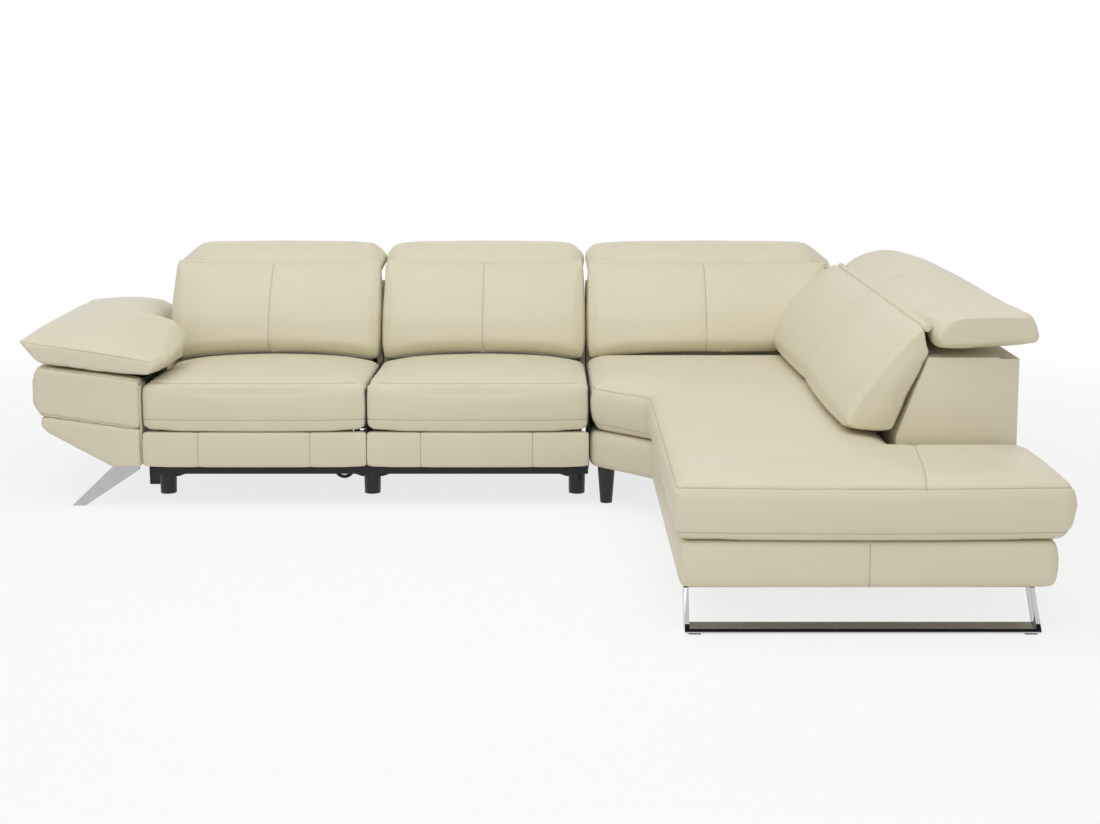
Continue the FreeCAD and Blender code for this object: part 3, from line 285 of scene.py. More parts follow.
def makeMetal(name):
    # Metal or hard plastic with a fine brushed or powdered surface
    metal = metals[name]
    material, tree, shader = newMaterial(name)
    coordinates = addNode(tree, "ShaderNodeTexCoord").outputs["Object"]
    mapped = addNode(tree, "ShaderNodeMapping", Vector=coordinates,
                     Scale=(1.0, metal.get("streaks", 1.0), 1.0))
    noise = addNode(tree, "ShaderNodeTexNoise", Vector=mapped.outputs["Vector"],
                    Scale=metalSurface["grain"], Detail=4.0).outputs["Fac"]
    darker = [metalSurface["darker"] * part for part in metal["colour"]]
    colour = mixColours(tree, noise, (*metal["colour"], 1.0), (*darker, 1.0))
    tree.links.new(colour, shader.inputs["Base Color"])
    rough = calculate(tree, "ADD", metal["roughness"] - metalSurface["spread"] / 2,
                      calculate(tree, "MULTIPLY", noise, metalSurface["spread"]))
    tree.links.new(rough, shader.inputs["Roughness"])
    shader.inputs["Metallic"].default_value = metal["metallic"]
    bump = addNode(tree, "ShaderNodeBump", Height=noise, Strength=metalSurface["bump"],
                   Distance=metalSurface["bumpHeight"])
    tree.links.new(bump.outputs["Normal"], shader.inputs["Normal"])
    return material


# The dark colour is a painted dark reflection on the lower bar's front face and painted shade close under the
# base
sledSteel = {"front": -1.1599, "low": 0.0085, "high": 0.0300, "paintedShadeUnderBase": 0.127,
             "dark": (0.012, 0.012, 0.014, 1.0), "bright": (0.60, 0.60, 0.62, 1.0),
             "duller": (0.50, 0.50, 0.52, 1.0), "grain": 45.0, "roughness": 0.10, "spread": 0.08}


def makeSledChrome():
    # Polished steel, with a painted dark reflection on its front face and painted shade close under the base
    material, tree, shader = newMaterial("sledChrome")
    coordinates = addNode(tree, "ShaderNodeTexCoord").outputs["Object"]
    parts = addNode(tree, "ShaderNodeSeparateXYZ", Vector=coordinates)
    onFront = calculate(tree, "LESS_THAN", parts.outputs["Y"], sledSteel["front"])
    above = calculate(tree, "GREATER_THAN", parts.outputs["Z"], sledSteel["low"])
    below = calculate(tree, "LESS_THAN", parts.outputs["Z"], sledSteel["high"])
    paintedShadeUnderBase = calculate(tree, "GREATER_THAN", parts.outputs["Z"], sledSteel["paintedShadeUnderBase"])
    paintedReflectionBand = calculate(tree, "MULTIPLY", onFront, calculate(tree, "MULTIPLY", above, below))
    # Painted dark reflection on the front band and painted shade under the base
    dark = calculate(tree, "MAXIMUM", paintedReflectionBand, paintedShadeUnderBase)
    noise = addNode(tree, "ShaderNodeTexNoise", Vector=coordinates, Scale=sledSteel["grain"],
                    Detail=3.0).outputs["Fac"]
    tone = mixColours(tree, noise, sledSteel["bright"], sledSteel["duller"])
    tree.links.new(mixColours(tree, dark, tone, sledSteel["dark"]), shader.inputs["Base Color"])
    spread = calculate(tree, "MULTIPLY", noise, sledSteel["spread"])
    tree.links.new(calculate(tree, "ADD", sledSteel["roughness"], spread), shader.inputs["Roughness"])
    shader.inputs["Metallic"].default_value = 1.0
    return material


webbing = {"dark": (0.035, 0.032, 0.03, 1.0), "light": (0.11, 0.10, 0.09, 1.0), "bands": 90.0,
           "roughness": 0.85, "bump": 0.4, "bumpHeight": 0.0006}


def makeWebbing():
    material, tree, shader = newMaterial("seatWebbing")
    coordinates = addNode(tree, "ShaderNodeTexCoord").outputs["Object"]
    weave = addNode(tree, "ShaderNodeTexWave", {"bands_direction": "X"}, Vector=coordinates,
                    Scale=webbing["bands"], Distortion=1.0).outputs["Fac"]
    tree.links.new(mixColours(tree, weave, webbing["dark"], webbing["light"]), shader.inputs["Base Color"])
    shader.inputs["Roughness"].default_value = webbing["roughness"]
    bump = addNode(tree, "ShaderNodeBump", Height=weave, Strength=webbing["bump"],
                   Distance=webbing["bumpHeight"])
    tree.links.new(bump.outputs["Normal"], shader.inputs["Normal"])
    return material


ivoryLeather = makeLeather()
darkSteel = makeMetal("darkSteel")
paleMetal = makeMetal("paleMetal")
brightChrome = makeMetal("brightChrome")
sledChrome = makeSledChrome()
blackPlastic = makeMetal("blackPlastic")
cableSheath = makeMetal("cableSheath")
seatWebbing = makeWebbing()
print("materials made")


# Padded forms
nothing = ((0, 0), (0, 0), (0, 0))
skin = {"frames": 12, "stretch": {
    "use_pressure": True, "uniform_pressure_force": 4.0, "quality": 4, "mass": 0.4, "tension_stiffness": 30,
    "compression_stiffness": 30, "shear_stiffness": 12, "bending_stiffness": 2.0}}


def relax(pad, repeats):
    withModifier(pad, "SMOOTH", factor=0.5, iterations=repeats)


def inflate(pad, cap):
    # Cloth under slight pressure gives the skin its pull between the corners
    before = places(pad).copy()
    selectOnly(pad)
    cloth = pad.modifiers.new("cloth", "CLOTH")
    for name, value in skin["stretch"].items():
        setattr(cloth.settings, name, value)
    cloth.settings.effector_weights.gravity = 0.0
    cloth.collision_settings.use_collision = False
    cloth.point_cache.frame_start = 1
    cloth.point_cache.frame_end = skin["frames"]
    for step in range(1, skin["frames"] + 1):
        scene.frame_set(step)
    bpy.ops.object.modifier_apply(modifier="cloth")
    scene.frame_set(1)
    moved = places(pad) - before
    length = np.linalg.norm(moved, axis=1, keepdims=True)
    moved *= np.minimum(1.0, cap / np.maximum(length, 1e-9))
    setPlaces(pad, before + moved)


def fade(value, start, stop):
    # Runs softly from 0 at start to 1 at stop
    share = np.clip((value - start) / (stop - start), 0.0, 1.0)
    return share * share * (3 - 2 * share)


def fillSpace(pad, space, spare, press):
    # The pad is stretched past its space by what is pressed, then cut flat where neighbours touch it
    low, high = space
    where = places(pad)
    for axis in range(3):
        least, most = where[:, axis].min(), where[:, axis].max()
        bottom, top = low[axis] - spare[axis][0], high[axis] + spare[axis][1]
        wideBottom, wideTop = bottom - press[axis][0], top + press[axis][1]
        stretched = wideBottom + (where[:, axis] - least) * (wideTop - wideBottom) / (most - least)
        where[:, axis] = np.clip(stretched, bottom, top)
    setPlaces(pad, where)


wide = 9.0  # past every edge of the sofa


def seamLine(at, across, along, within=None, **more):
    # Within limits the seam's own stretch, by names such as zLow or xHigh
    low, high = [-wide] * 3, [wide] * 3
    for name, value in (within or {}).items():
        (low if name.endswith("Low") else high)["xyz".index(name[0])] = value
    return {"at": at, "across": across, "along": along, "low": low, "high": high, **more}


def levelSeam(height, within=None, **more):
    return seamLine((0, 0, height), (0, 0, 1), (1, 1, 0), within, **more)


def uprightSeam(place, within=None, **more):
    return seamLine((place, 0, 0), (1, 0, 0), (0, 1, 1), within, **more)


def frontSeam(place):
    # Down the front of a back cushion
    return uprightSeam(place, toward=(0, -1, 0.2), fine=0.001)


def seamFaces(pad, seam):
    # Faces in the seam's own stretch that look the way the seam does
    low, high = Vector(seam["low"]), Vector(seam["high"])
    toward = Vector(seam["toward"]) if "toward" in seam else None
    chosen = []
    for face in pad.faces:
        centre = face.calc_center_median()
        if any(centre[axis] < low[axis] or centre[axis] > high[axis] for axis in range(3)):
            continue
        if toward is not None and face.normal.dot(toward) < seam.get("least", sewing["least"]):
            continue
        chosen.append(face)
    return chosen


def sewSeams(pad, seams):
    # Each seam is cut in as a line of points, drawn in a little and noted for the leather's stitches
    if not seams:
        return
    mesh = bmesh.new()
    mesh.from_mesh(pad.data)
    mesh.normal_update()
    near = mesh.verts.layers.float.new("seamNearness")
    run = mesh.verts.layers.float.new("seamRun")
    for seam in seams:
        at, across = Vector(seam["at"]), Vector(seam["across"]).normalized()
        faces = seamFaces(mesh, seam)
        edges = {edge for face in faces for edge in face.edges}
        points = {vert for face in faces for vert in face.verts}
        bmesh.ops.bisect_plane(mesh, geom=list(points) + list(edges) + faces, dist=sewing["weld"],
                               plane_co=at, plane_no=across)
        mesh.normal_update()
        faces = seamFaces(mesh, seam)
        points = {vert for face in faces for vert in face.verts}
        along = Vector(seam["along"])
        soft, fine = seam.get("soft", sewing["soft"]), seam.get("fine", sewing["fine"])
        shifts = []
        for vert in points:
            distance = abs((vert.co - at).dot(across))
            nearness = max(0.0, 1 - distance / sewing["reach"])
            if nearness > vert[near]:
                vert[near] = nearness
                vert[run] = vert.co.dot(along)
            depth = soft * math.exp(-(distance / sewing["width"]) ** 2)
            depth += fine * max(0.0, 1 - distance / sewing["fineWidth"])
            shifts.append((vert, vert.normal * depth))
        for vert, shift in shifts:
            vert.co -= shift
    mesh.to_mesh(pad.data)
    mesh.free()


def makePad(name, nodes, body, form, seams=(), shape=None, cage=None):
    # A padded leather piece in the space of its frame nodes, or in that of its own cage
    pad = copyOfNodes(name, nodes) if cage is None else cage
    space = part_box(nodes[0]) if cage is None else (places(pad).min(axis=0), places(pad).max(axis=0))
    withModifier(pad, "REMESH", mode="VOXEL", voxel_size=form["voxel"], adaptivity=0.0)
    relax(pad, form["relax"])
    if form.get("swell"):
        withModifier(pad, "DISPLACE", strength=-form["swell"] / 2, mid_level=0.0)
        inflate(pad, form["swell"])
        relax(pad, 2)
    fillSpace(pad, space, form.get("spare", nothing), form.get("press", nothing))
    if shape is not None:
        setPlaces(pad, shape(places(pad)))
    withModifier(pad, "SUBSURF", levels=1, render_levels=1)
    sewSeams(pad, seams)
    dress(pad, ivoryLeather, body, nodes)
    print(name, "made,", len(pad.data.polygons), "faces")


# Recliner seats, their footrest panels, backs and headrests
seatForm = {"voxel": 0.0100, "relax": 3, "swell": 0.004, "spare": ((0, 0), (0.002, 0), (0, 0.001)),
            "press": ((0.004, 0.004), (0, 0), (0.006, 0)),
            "topSeam": 0.414, "hem": 0.291, "seamDepth": 0.05,
            "top": (0.33, 0.42), "crownStart": 0.03, "crownStop": 0.05, "sideFall": 0.022, "rearFall": 0.003,
            "underBack": 0.012, "backFoot": (0.742, 0.765)}


def fromMiddle(where, low, high):
    # 0 on the middle line and 1 at either side
    return np.abs(where[:, 0] - (low.x + high.x) / 2) / ((high.x - low.x) / 2)


def shapeSeat(form, low, high):
    # The crown falls towards the sides, and more so near the back
    def shaped(where):
        aside = fromMiddle(where, low, high)
        toBack = fade(where[:, 1], low.y + form["crownStart"], high.y - form["crownStop"])
        onTop = fade(where[:, 2], *form["top"])
        where[:, 2] -= onTop * toBack * (form["sideFall"] * aside ** 2.4 + form["rearFall"])
        where[:, 2] -= onTop * form["underBack"] * fade(where[:, 1], *form["backFoot"])
        return where
    return shaped


backForm = {"voxel": 0.0100, "relax": 4, "swell": 0.005, "spare": ((0, 0), (0, 0), (0.001, 0.006)),
            "press": ((0.002, 0.002), (0, 0), (0.002, 0.004)),
            "lean": 0.09, "front": (0.07, 0.11), "belly": 0.034, "bellyFrom": 0.06, "bellyRun": 0.92,
            "sideBelly": 0.55, "footHeight": 0.22, "footTuck": 0.034, "footFall": 0.011, "fallHeight": 0.45,
            "cornerFall": 0.034, "footIn": 0.008, "footSide": (0.8, 1.0)}


def shapeBack(form, low, high, ends):
    # A full belly, a foot that turns under, and a lower edge that follows the seat's crown
    def shaped(where):
        share = (where[:, 2] - low.z) / (high.z - low.z)
        aside = fromMiddle(where, low, high)
        face = low.y + form["lean"] * share
        onFront = 1 - fade(where[:, 1], face + form["front"][0], face + form["front"][1])
        full = 1 - form["sideBelly"] * aside ** 3
        rise = np.sin(math.pi * np.clip(share * form["bellyRun"] + form["bellyFrom"], 0, 1)) ** 0.8
        where[:, 1] -= onFront * full * form["belly"] * rise
        atFoot = 1 - fade(share, 0.0, form["footHeight"])
        where[:, 1] += onFront * form["footTuck"] * atFoot ** 1.6
        footward = 1 - fade(share, 0.0, form["fallHeight"])
        toLeft = where[:, 0] < (low.x + high.x) / 2
        ended = np.where(toLeft, ends[0], ends[1])
        cornered = form["cornerFall"] * aside ** 2.6 * np.minimum(ended, 1)
        where[:, 2] -= footward * (form["footFall"] + cornered)
        drawIn = form["footIn"] * ended * atFoot ** 1.5 * fade(aside, *form["footSide"])
        where[:, 0] += np.where(toLeft, drawIn, -drawIn)
        return where
    return shaped


headForm = {"voxel": 0.0100, "relax": 4, "swell": 0.005, "spare": ((0, 0), (0.004, 0), (0, 0.001)),
            "crown": (0.69, 0.80), "cornerFall": 0.026, "cornerReach": 0.062}


def shapeHeadrest(form, low, high, firstCorner, lastCorner=1.0):
    # The upper corners fall away, most at the sofa's open end
    def shaped(where):
        lift = fade(where[:, 2], *form["crown"])
        left = 1 - fade(where[:, 0], low.x, low.x + form["cornerReach"] * firstCorner)
        right = 1 - fade(high.x - where[:, 0], 0, form["cornerReach"] * lastCorner)
        fall = left ** 1.5 * firstCorner + right ** 1.5 * lastCorner
        where[:, 2] -= lift * fall * form["cornerFall"]
        return where
    return shaped


foldForm = {"radius": 0.0122, "sides": 20, "edge": 0.006, "height": 0.7335, "inset": 0.012,
            "behindBacks": 0.9290, "besideChaise": 1.2412}


def makeFold(name, body, ends, along, across):
    # The leather fold that covers a headrest hinge
    middle = (ends[0] + ends[1]) / 2
    place = (middle, across, foldForm["height"]) if along == "X" else (across, middle, foldForm["height"])
    turn = (0, math.pi / 2, 0) if along == "X" else (math.pi / 2, 0, 0)
    bpy.ops.object.select_all(action="DESELECT")
    bpy.ops.mesh.primitive_cylinder_add(vertices=foldForm["sides"], radius=foldForm["radius"],
                                        depth=ends[1] - ends[0], location=place, rotation=turn)
    fold = bpy.context.object
    fold.name = name
    bpy.ops.object.transform_apply(location=True, rotation=True, scale=True)
    softenEdges(fold, foldForm["edge"], 3, 50)
    dress(fold, ivoryLeather, body, creaseAngle=50)


panelForm = {"voxel": 0.0065, "relax": 2, "spare": ((0.0005, 0.0005), (0, 0), (0, 0.0025)),
             "press": ((0.004, 0.004), (0, 0.002), (0.003, 0.005)),
             "seams": (0.179, 0.551), "seamDepth": 0.03}
# The fall of the outer corner, the draw of the back's foot there, and how far the seat reaches to its left
recliners = {
    "left": {"backSeam": -0.8225, "corner": 1.7, "footEnd": 3.4, "reach": 0.0055},
    "middle": {"backSeam": -0.0535, "corner": 0.8, "footEnd": 1, "reach": 0.0005},
}


def reachLeft(form, reach):
    # The same form, spread by reach to its left
    across, *others = form["spare"]
    return {**form, "spare": ((reach, across[1]), *others)}


def makeReclinerPads(side, backSeam, corner, footEnd, reach):
    seatLow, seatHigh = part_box("seat_cushion_" + side)
    front = {"yHigh": seatLow.y + seatForm["seamDepth"]}
    makePad("seatPad_" + side, ["seat_cushion_" + side], "seat_" + side, reachLeft(seatForm, reach), [
        levelSeam(seatForm["topSeam"], front, toward=(0, -1, 0.6), least=0.45),
        levelSeam(seatForm["hem"], front, toward=(0, -1, 0), soft=0.0012),
    ], shapeSeat(seatForm, seatLow, seatHigh))
    panel = "footrest_panel_" + side
    front = {"yHigh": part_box(panel)[0].y + panelForm["seamDepth"]}
    seams = [uprightSeam(seatLow.x + share, front, soft=0.0008, fine=0.0008) for share in panelForm["seams"]]
    makePad("footrestPad_" + side, [panel], panel, reachLeft(panelForm, reach), seams)
    backLow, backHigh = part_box("back_cushion_" + side)
    makePad("backPad_" + side, ["back_cushion_" + side], "back_" + side, backForm, [frontSeam(backSeam)],
            shapeBack(backForm, backLow, backHigh, (footEnd, 1)))
    headLow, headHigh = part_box("headrest_" + side)
    makePad("headrestPad_" + side, ["headrest_" + side], "headrest_" + side, headForm, [],
            shapeHeadrest(headForm, headLow, headHigh, corner))
    makeFold("headrestFold_" + side, "back_" + side,
             (backLow.x + foldForm["inset"], backHigh.x - foldForm["inset"]), "X", foldForm["behindBacks"])


for side, values in recliners.items():
    makeReclinerPads(side, **values)
print("recliners padded")


# Corner and chaise
cornerForm = {"voxel": 0.0145, "relax": 3, "swell": 0.005, "spare": ((0, 0.009), (0.002, 0), (0, 0.002)),
              "press": ((0.003, 0.002), (0.001, 0), (0.006, 0)),
              "topSeam": 0.3955, "hem": 0.2745, "seamBack": 0.25,
              "endSeam": 1.280, "endSlant": -0.113, "endBack": -0.63}
plinthForm = {"voxel": 0.016, "relax": 2, "spare": ((0, 0.008), (0, 0), (0.002, 0)),
              "press": ((0.003, 0.001), (0.002, 0), (0.004, 0.006)), "seam": 1.008, "seamBack": -1.10}
cornerBack = {"seam": 0.7495, "firstFall": 0.7, "lastFall": 1.9, "foldEnd": 1.150}
chaiseBackForm = {"voxel": 0.0095, "relax": 4, "swell": 0.005, "spare": ((0, 0.004), (0, 0), (0.001, 0.006)),
                  "lean": 0.16, "front": (0.04, 0.12), "nearBelly": 0.016, "farBelly": 0.044,
                  "far": (0.10, 0.85), "scallop": 0.012, "scallopRest": 0.4, "scallopHeight": 0.5,
                  "seam": 0.10, "fold": (-0.690, 0.840)}
chaiseHeadForm = {"voxel": 0.0095, "relax": 3, "swell": 0.005, "spare": ((0.004, 0), (0, 0), (0, 0.001)),
                  "press": ((0, 0.006), (0.007, 0), (0.003, 0)),
                  "edge": 0.755, "nearShare": 0.25, "nearEnd": -0.70, "boxReach": 0.42, "fullFrom": 0.30,
                  # The near end's outline across the headrest, as the frame has it and as a squared box
                  "across": (1.245, 1.275, 1.33, 1.40, 1.46, 1.51, 1.555),
                  "under": (0.712, 0.695, 0.694, 0.697, 0.702, 0.708, 0.716),
                  "over": (0.725, 0.742, 0.770, 0.785, 0.777, 0.757, 0.738),
                  "boxUnder": (0.690, 0.679, 0.677, 0.679, 0.684, 0.691, 0.702),
                  "boxOver": (0.744, 0.757, 0.765, 0.768, 0.769, 0.769, 0.766)}


def shapeChaiseHeadrest(where):
    # Flat and boxed at the near end, full at the far part
    form = chaiseHeadForm
    edge, nearEnd, share = form["edge"], form["nearEnd"], form["nearShare"]
    full = share + (1 - share) * fade(where[:, 1], nearEnd, form["fullFrom"])
    crown = where[:, 2] > edge
    where[crown, 2] = edge + (where[crown, 2] - edge) * full[crown]
    boxed = 1 - fade(where[:, 1], nearEnd, nearEnd + form["boxReach"])
    under, over, boxUnder, boxOver = (np.interp(where[:, 0], form["across"], form[line])
                                      for line in ("under", "over", "boxUnder", "boxOver"))
    over = edge + (over - edge) * share
    level = np.clip((where[:, 2] - under) / (over - under), 0, 1)
    where[:, 2] += boxed * (boxUnder + (boxOver - boxUnder) * level - where[:, 2])
    return where


def shapeChaiseBack(where):
    # Fuller towards the far corner, with a foot that puffs out each side of the middle seam
    form = chaiseBackForm
    low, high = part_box("back_cushion_chaise")
    share = np.clip((where[:, 2] - low.z) / (high.z - low.z), 0, 1)
    face = low.x + form["lean"] * share
    onFront = 1 - fade(where[:, 0], face + form["front"][0], face + form["front"][1])
    amount = form["nearBelly"] + form["farBelly"] * fade(where[:, 1], *form["far"])
    where[:, 0] -= onFront * amount * np.sin(math.pi * share) ** 0.8
    aside = np.where(where[:, 1] > form["seam"], (high.y - where[:, 1]) / (high.y - form["seam"]),
                     (where[:, 1] - low.y) / (form["seam"] - low.y))
    puff = np.sin(math.pi * np.clip(aside, 0, 1)) ** 0.7
    footward = 1 - fade(share, 0.0, form["scallopHeight"])
    where[:, 0] += onFront * form["scallop"] * (form["scallopRest"] - puff) * footward
    return where


def makeCornerPads():
    front = {"yHigh": cornerForm["seamBack"]}
    makePad("cornerSeatPad", ["corner_seat_cushion"], "sofa_body", cornerForm, [
        levelSeam(cornerForm["topSeam"], front),
        levelSeam(cornerForm["hem"], front, soft=0.001),
        seamLine((cornerForm["endSeam"], 0, 0), (1, cornerForm["endSlant"], 0), (0, 1, 1),
                 {"yHigh": cornerForm["endBack"], "xLow": 1.0}, toward=(0, 0, 1), least=0.5, fine=0.001)])
    makePad("cornerPlinth", ["corner_base"], "sofa_body", plinthForm, [
        uprightSeam(plinthForm["seam"], {"yHigh": plinthForm["seamBack"]}, toward=(0, -1, 0), least=0.5,
                    soft=0.001, fine=0.001)])
    backLow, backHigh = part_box("back_cushion_corner")
    makePad("backPad_corner", ["back_cushion_corner"], "sofa_body", backForm, [frontSeam(cornerBack["seam"])],
            shapeBack(backForm, backLow, backHigh, (1, 0)))
    headLow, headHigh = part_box("headrest_corner")
    makePad("headrestPad_corner", ["headrest_corner"], "headrest_corner", headForm, [],
            shapeHeadrest(headForm, headLow, headHigh, cornerBack["firstFall"], cornerBack["lastFall"]))
    makeFold("headrestFold_corner", "sofa_body",
             (backLow.x + foldForm["inset"], cornerBack["foldEnd"]), "X", foldForm["behindBacks"])
    middle, across, along = (0, chaiseBackForm["seam"], 0), (0, 1, 0), (1, 0, 1)
    makePad("backPad_chaise", ["back_cushion_chaise"], "sofa_body", chaiseBackForm,
            [seamLine(middle, across, along, toward=(-1, 0, 0.3), fine=0.001)], shapeChaiseBack)
    makePad("headrestPad_chaise", ["headrest_chaise"], "headrest_chaise", chaiseHeadForm,
            [seamLine(middle, across, along, toward=(0, 0, 1), least=0.3, fine=0.001)], shapeChaiseHeadrest)
    makeFold("headrestFold_chaise", "sofa_body", chaiseBackForm["fold"], "Y", foldForm["besideChaise"])


makeCornerPads()
print("corner and chaise padded")


# Arm
armPadForm = {
    "voxel": 0.009, "relax": 4, "swell": 0.004, "press": ((0, 0), (0.004, 0), (0, 0)),
    "seamAt": (-1.5461, 0.2, 0.5546), "seamAcross": (0.1584, 0, 0.9874), "seamBack": 0.24,
    # A section's depth, then its lower left, tip, three points of the crown, shoulder, side,
    # lower right and underside
    "sections": [
        (0.2000, [
            (-1.500, .484), (-1.556, .557), (-1.45, .5435), (-1.33, .5275), (-1.22, .5095),
            (-1.133, .488), (-1.122, .468), (-1.145, .440), (-1.30, .453)]),
        (0.2900, [
            (-1.490, .481), (-1.566, .563), (-1.45, .571), (-1.33, .568), (-1.22, .546),
            (-1.110, .502), (-1.092, .478), (-1.122, .440), (-1.30, .451)]),
        (0.4300, [
            (-1.490, .481), (-1.566, .566), (-1.45, .586), (-1.33, .591), (-1.22, .578),
            (-1.116, .540), (-1.079, .500), (-1.110, .440), (-1.30, .451)]),
        (0.5900, [
            (-1.490, .481), (-1.566, .568), (-1.45, .592), (-1.33, .602), (-1.22, .598),
            (-1.122, .572), (-1.086, .520), (-1.106, .440), (-1.30, .451)]),
        (0.6150, [
            (-1.490, .481), (-1.566, .569), (-1.45, .592), (-1.34, .602), (-1.25, .600),
            (-1.195, .580), (-1.180, .520), (-1.185, .443), (-1.31, .452)]),
        (0.6800, [
            (-1.490, .481), (-1.566, .570), (-1.45, .592), (-1.35, .601), (-1.27, .597),
            (-1.232, .574), (-1.212, .520), (-1.205, .443), (-1.32, .453)]),
        (1.0000, [
            (-1.490, .481), (-1.564, .572), (-1.45, .588), (-1.37, .591), (-1.29, .583),
            (-1.240, .560), (-1.216, .510), (-1.210, .452), (-1.33, .455)]),
        (1.1845, [
            (-1.488, .492), (-1.558, .568), (-1.45, .578), (-1.37, .579), (-1.29, .567),
            (-1.242, .541), (-1.222, .505), (-1.224, .458), (-1.33, .467)]),
    ],
}
armBlockForm = {"voxel": 0.009, "relax": 3, "spare": ((0.002, 0), (0.002, 0), (0, 0)),
                "press": ((0, 0.004), (0, 0), (0.002, 0.002)),
                "top": (0.385, 0.41), "rise": 0.015, "riseAcross": (-1.52, -1.19),
                "leafAcross": (-1.250, -1.235), "leafBack": (0.262, 0.276),
                "seams": ({"at": (-1.1833, 0, 0.2681), "across": (0.145, 0, 0.989)},
                          {"at": (-1.1816, 0, 0.424), "across": (0.146, 0, 0.989), "toward": (0, -1, 0)})}


def shapeArmBlock(where):
    # The upper face rises to meet the pad, and leaves room for the hinge leaf
    form = armBlockForm
    byLeaf = fade(where[:, 0], *form["leafAcross"]) * fade(where[:, 1], *form["leafBack"])
    rise = form["rise"] * fade(where[:, 0], *form["riseAcross"]) * (1 - byLeaf)
    where[:, 2] += fade(where[:, 2], *form["top"]) * rise
    return where


def armPadCage():
    # Sections skinned from the front to the rear
    mesh = bmesh.new()
    rings = [[mesh.verts.new((x, depth, z)) for x, z in points] for depth, points in armPadForm["sections"]]
    count = len(rings[0])
    for before, after in zip(rings, rings[1:]):
        for index in range(count):
            following = (index + 1) % count
            mesh.faces.new((before[index], before[following], after[following], after[index]))
    mesh.faces.new(rings[0])
    mesh.faces.new(rings[-1])
    bmesh.ops.recalc_face_normals(mesh, faces=mesh.faces)
    data = bpy.data.meshes.new("armPad")
    mesh.to_mesh(data)
    mesh.free()
    cage = bpy.data.objects.new("armPad", data)
    scene.collection.objects.link(cage)
    return cage


def makeArmPads():
    endSeam = seamLine(armPadForm["seamAt"], armPadForm["seamAcross"], (1, 1, 0),
                       {"yHigh": armPadForm["seamBack"]}, toward=(0, -1, 0.2), least=0.5, fine=0.001)
    makePad("armPad", ["arm_pad"], "arm_pad", armPadForm, [endSeam], cage=armPadCage())
    makePad("armMiddlePad", ["arm_middle_block"], "sofa_body", armBlockForm,
            [seamLine(along=(1, 1, 0), soft=0.001, **seam) for seam in armBlockForm["seams"]], shapeArmBlock)
    makePad("armLowerPad", ["arm_lower_block"], "sofa_body", armBlockForm)


makeArmPads()
print("arm padded")


# Upholstered shells, with softened edges
shellForm = {"edge": 0.006, "squareFrom": 1.4455, "squareAbove": 0.6, "squareTop": 0.6475}


def makeShell(name, node, body, squareFrom=None):
    # The chaise's shell is squared at its outer upper corner
    shell = copyOfNodes(name, [node])
    if squareFrom is not None:
        where = places(shell)
        corner = (where[:, 0] > squareFrom) & (where[:, 2] > shellForm["squareAbove"])
        where[corner, 2] = shellForm["squareTop"]
        setPlaces(shell, where)
    softenEdges(shell, shellForm["edge"], 3, 35, use_clamp_overlap=True)
    dress(shell, ivoryLeather, body, [node], 40)


makeShell("backShell_left", "back_shell_left", "back_left")
makeShell("backShell_middle", "back_shell_middle", "back_middle")
makeShell("backShell_corner", "corner_back_shell", "sofa_body")
makeShell("backShell_chaise", "chaise_back_shell", "sofa_body", shellForm["squareFrom"])
print("shells covered")


# Linings, front rail, feet and sled
def addBar(name, low, high, edge=0.002):
    # A bar between two corners, with softened edges
    bpy.ops.object.select_all(action="DESELECT")
    middle = [(one + other) / 2 for one, other in zip(low, high)]
    bpy.ops.mesh.primitive_cube_add(size=1, location=middle,
                                    scale=[other - one for one, other in zip(low, high)])
    bar = bpy.context.object
    bar.name = name
    bpy.ops.object.transform_apply(location=True, rotation=True, scale=True)
    softenEdges(bar, edge, 2, 40)
    return bar


def joinUp(name, pieces, material, body):
    selectOnly(pieces[0])
    for piece in pieces:
        piece.select_set(True)
    bpy.ops.object.join()
    joined = bpy.context.object
    joined.name = name
    dress(joined, material, body, creaseAngle=35)


liningForm = {"inset": 0.046, "front": 0.2448, "back": 0.2466, "low": 0.237, "high": 0.262, "edge": 0.0004}


def makeLining(side):
    # Black fabric behind the gap over the footrest panel
    low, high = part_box("seat_cushion_" + side)
    strip = addBar("lining", (low.x + liningForm["inset"], liningForm["front"], liningForm["low"]),
                   (high.x - liningForm["inset"], liningForm["back"], liningForm["high"]), liningForm["edge"])
    joinUp("seatLining_" + side, [strip], seatWebbing, "seat_" + side)


dividerForm = {"places": (-0.4225, 0.3175), "thickness": 0.0009, "front": 0.222, "back": 0.80,
               "low": 0.121, "high": 0.392, "edge": 0.0002}


def makeDividers():
    # Thin black fabric between the units
    half = dividerForm["thickness"] / 2
    sheets = [addBar("divider", (x - half, dividerForm["front"], dividerForm["low"]),
                     (x + half, dividerForm["back"], dividerForm["high"]), dividerForm["edge"])
              for x in dividerForm["places"]]
    joinUp("unitDividers", sheets, seatWebbing, "sofa_body")


railForm = {"left": -1.160, "right": 0.316, "front": 0.272, "depth": 0.020, "low": 0.094, "high": 0.126,
            "arms": (-1.1245, -0.434, -0.411, 0.2795), "armHalf": 0.014, "armLap": 0.002, "armBack": 0.408,
            "armLow": 0.096, "armHigh": 0.1195,
            "blockWidth": 0.034, "blockInset": 0.003, "blockLow": 0.058, "blockHigh": 0.1}


def makeFrontRail():
    left, front, half = railForm["left"], railForm["front"], railForm["armHalf"]
    back = front + railForm["depth"]
    bars = [addBar("rail", (left, front, railForm["low"]), (railForm["right"], back, railForm["high"]))]
    for x in railForm["arms"]:
        bars.append(addBar("railArm", (x - half, back - railForm["armLap"], railForm["armLow"]),
                           (x + half, railForm["armBack"], railForm["armHigh"])))
    bars.append(addBar("endBlock", (left, front + railForm["blockInset"], railForm["blockLow"]),
                       (left + railForm["blockWidth"], back, railForm["blockHigh"])))
    joinUp("frontRail", bars, darkSteel, "sofa_body")


footForm = {"growth": 0.0075, "top": 0.0935, "edge": 0.003}


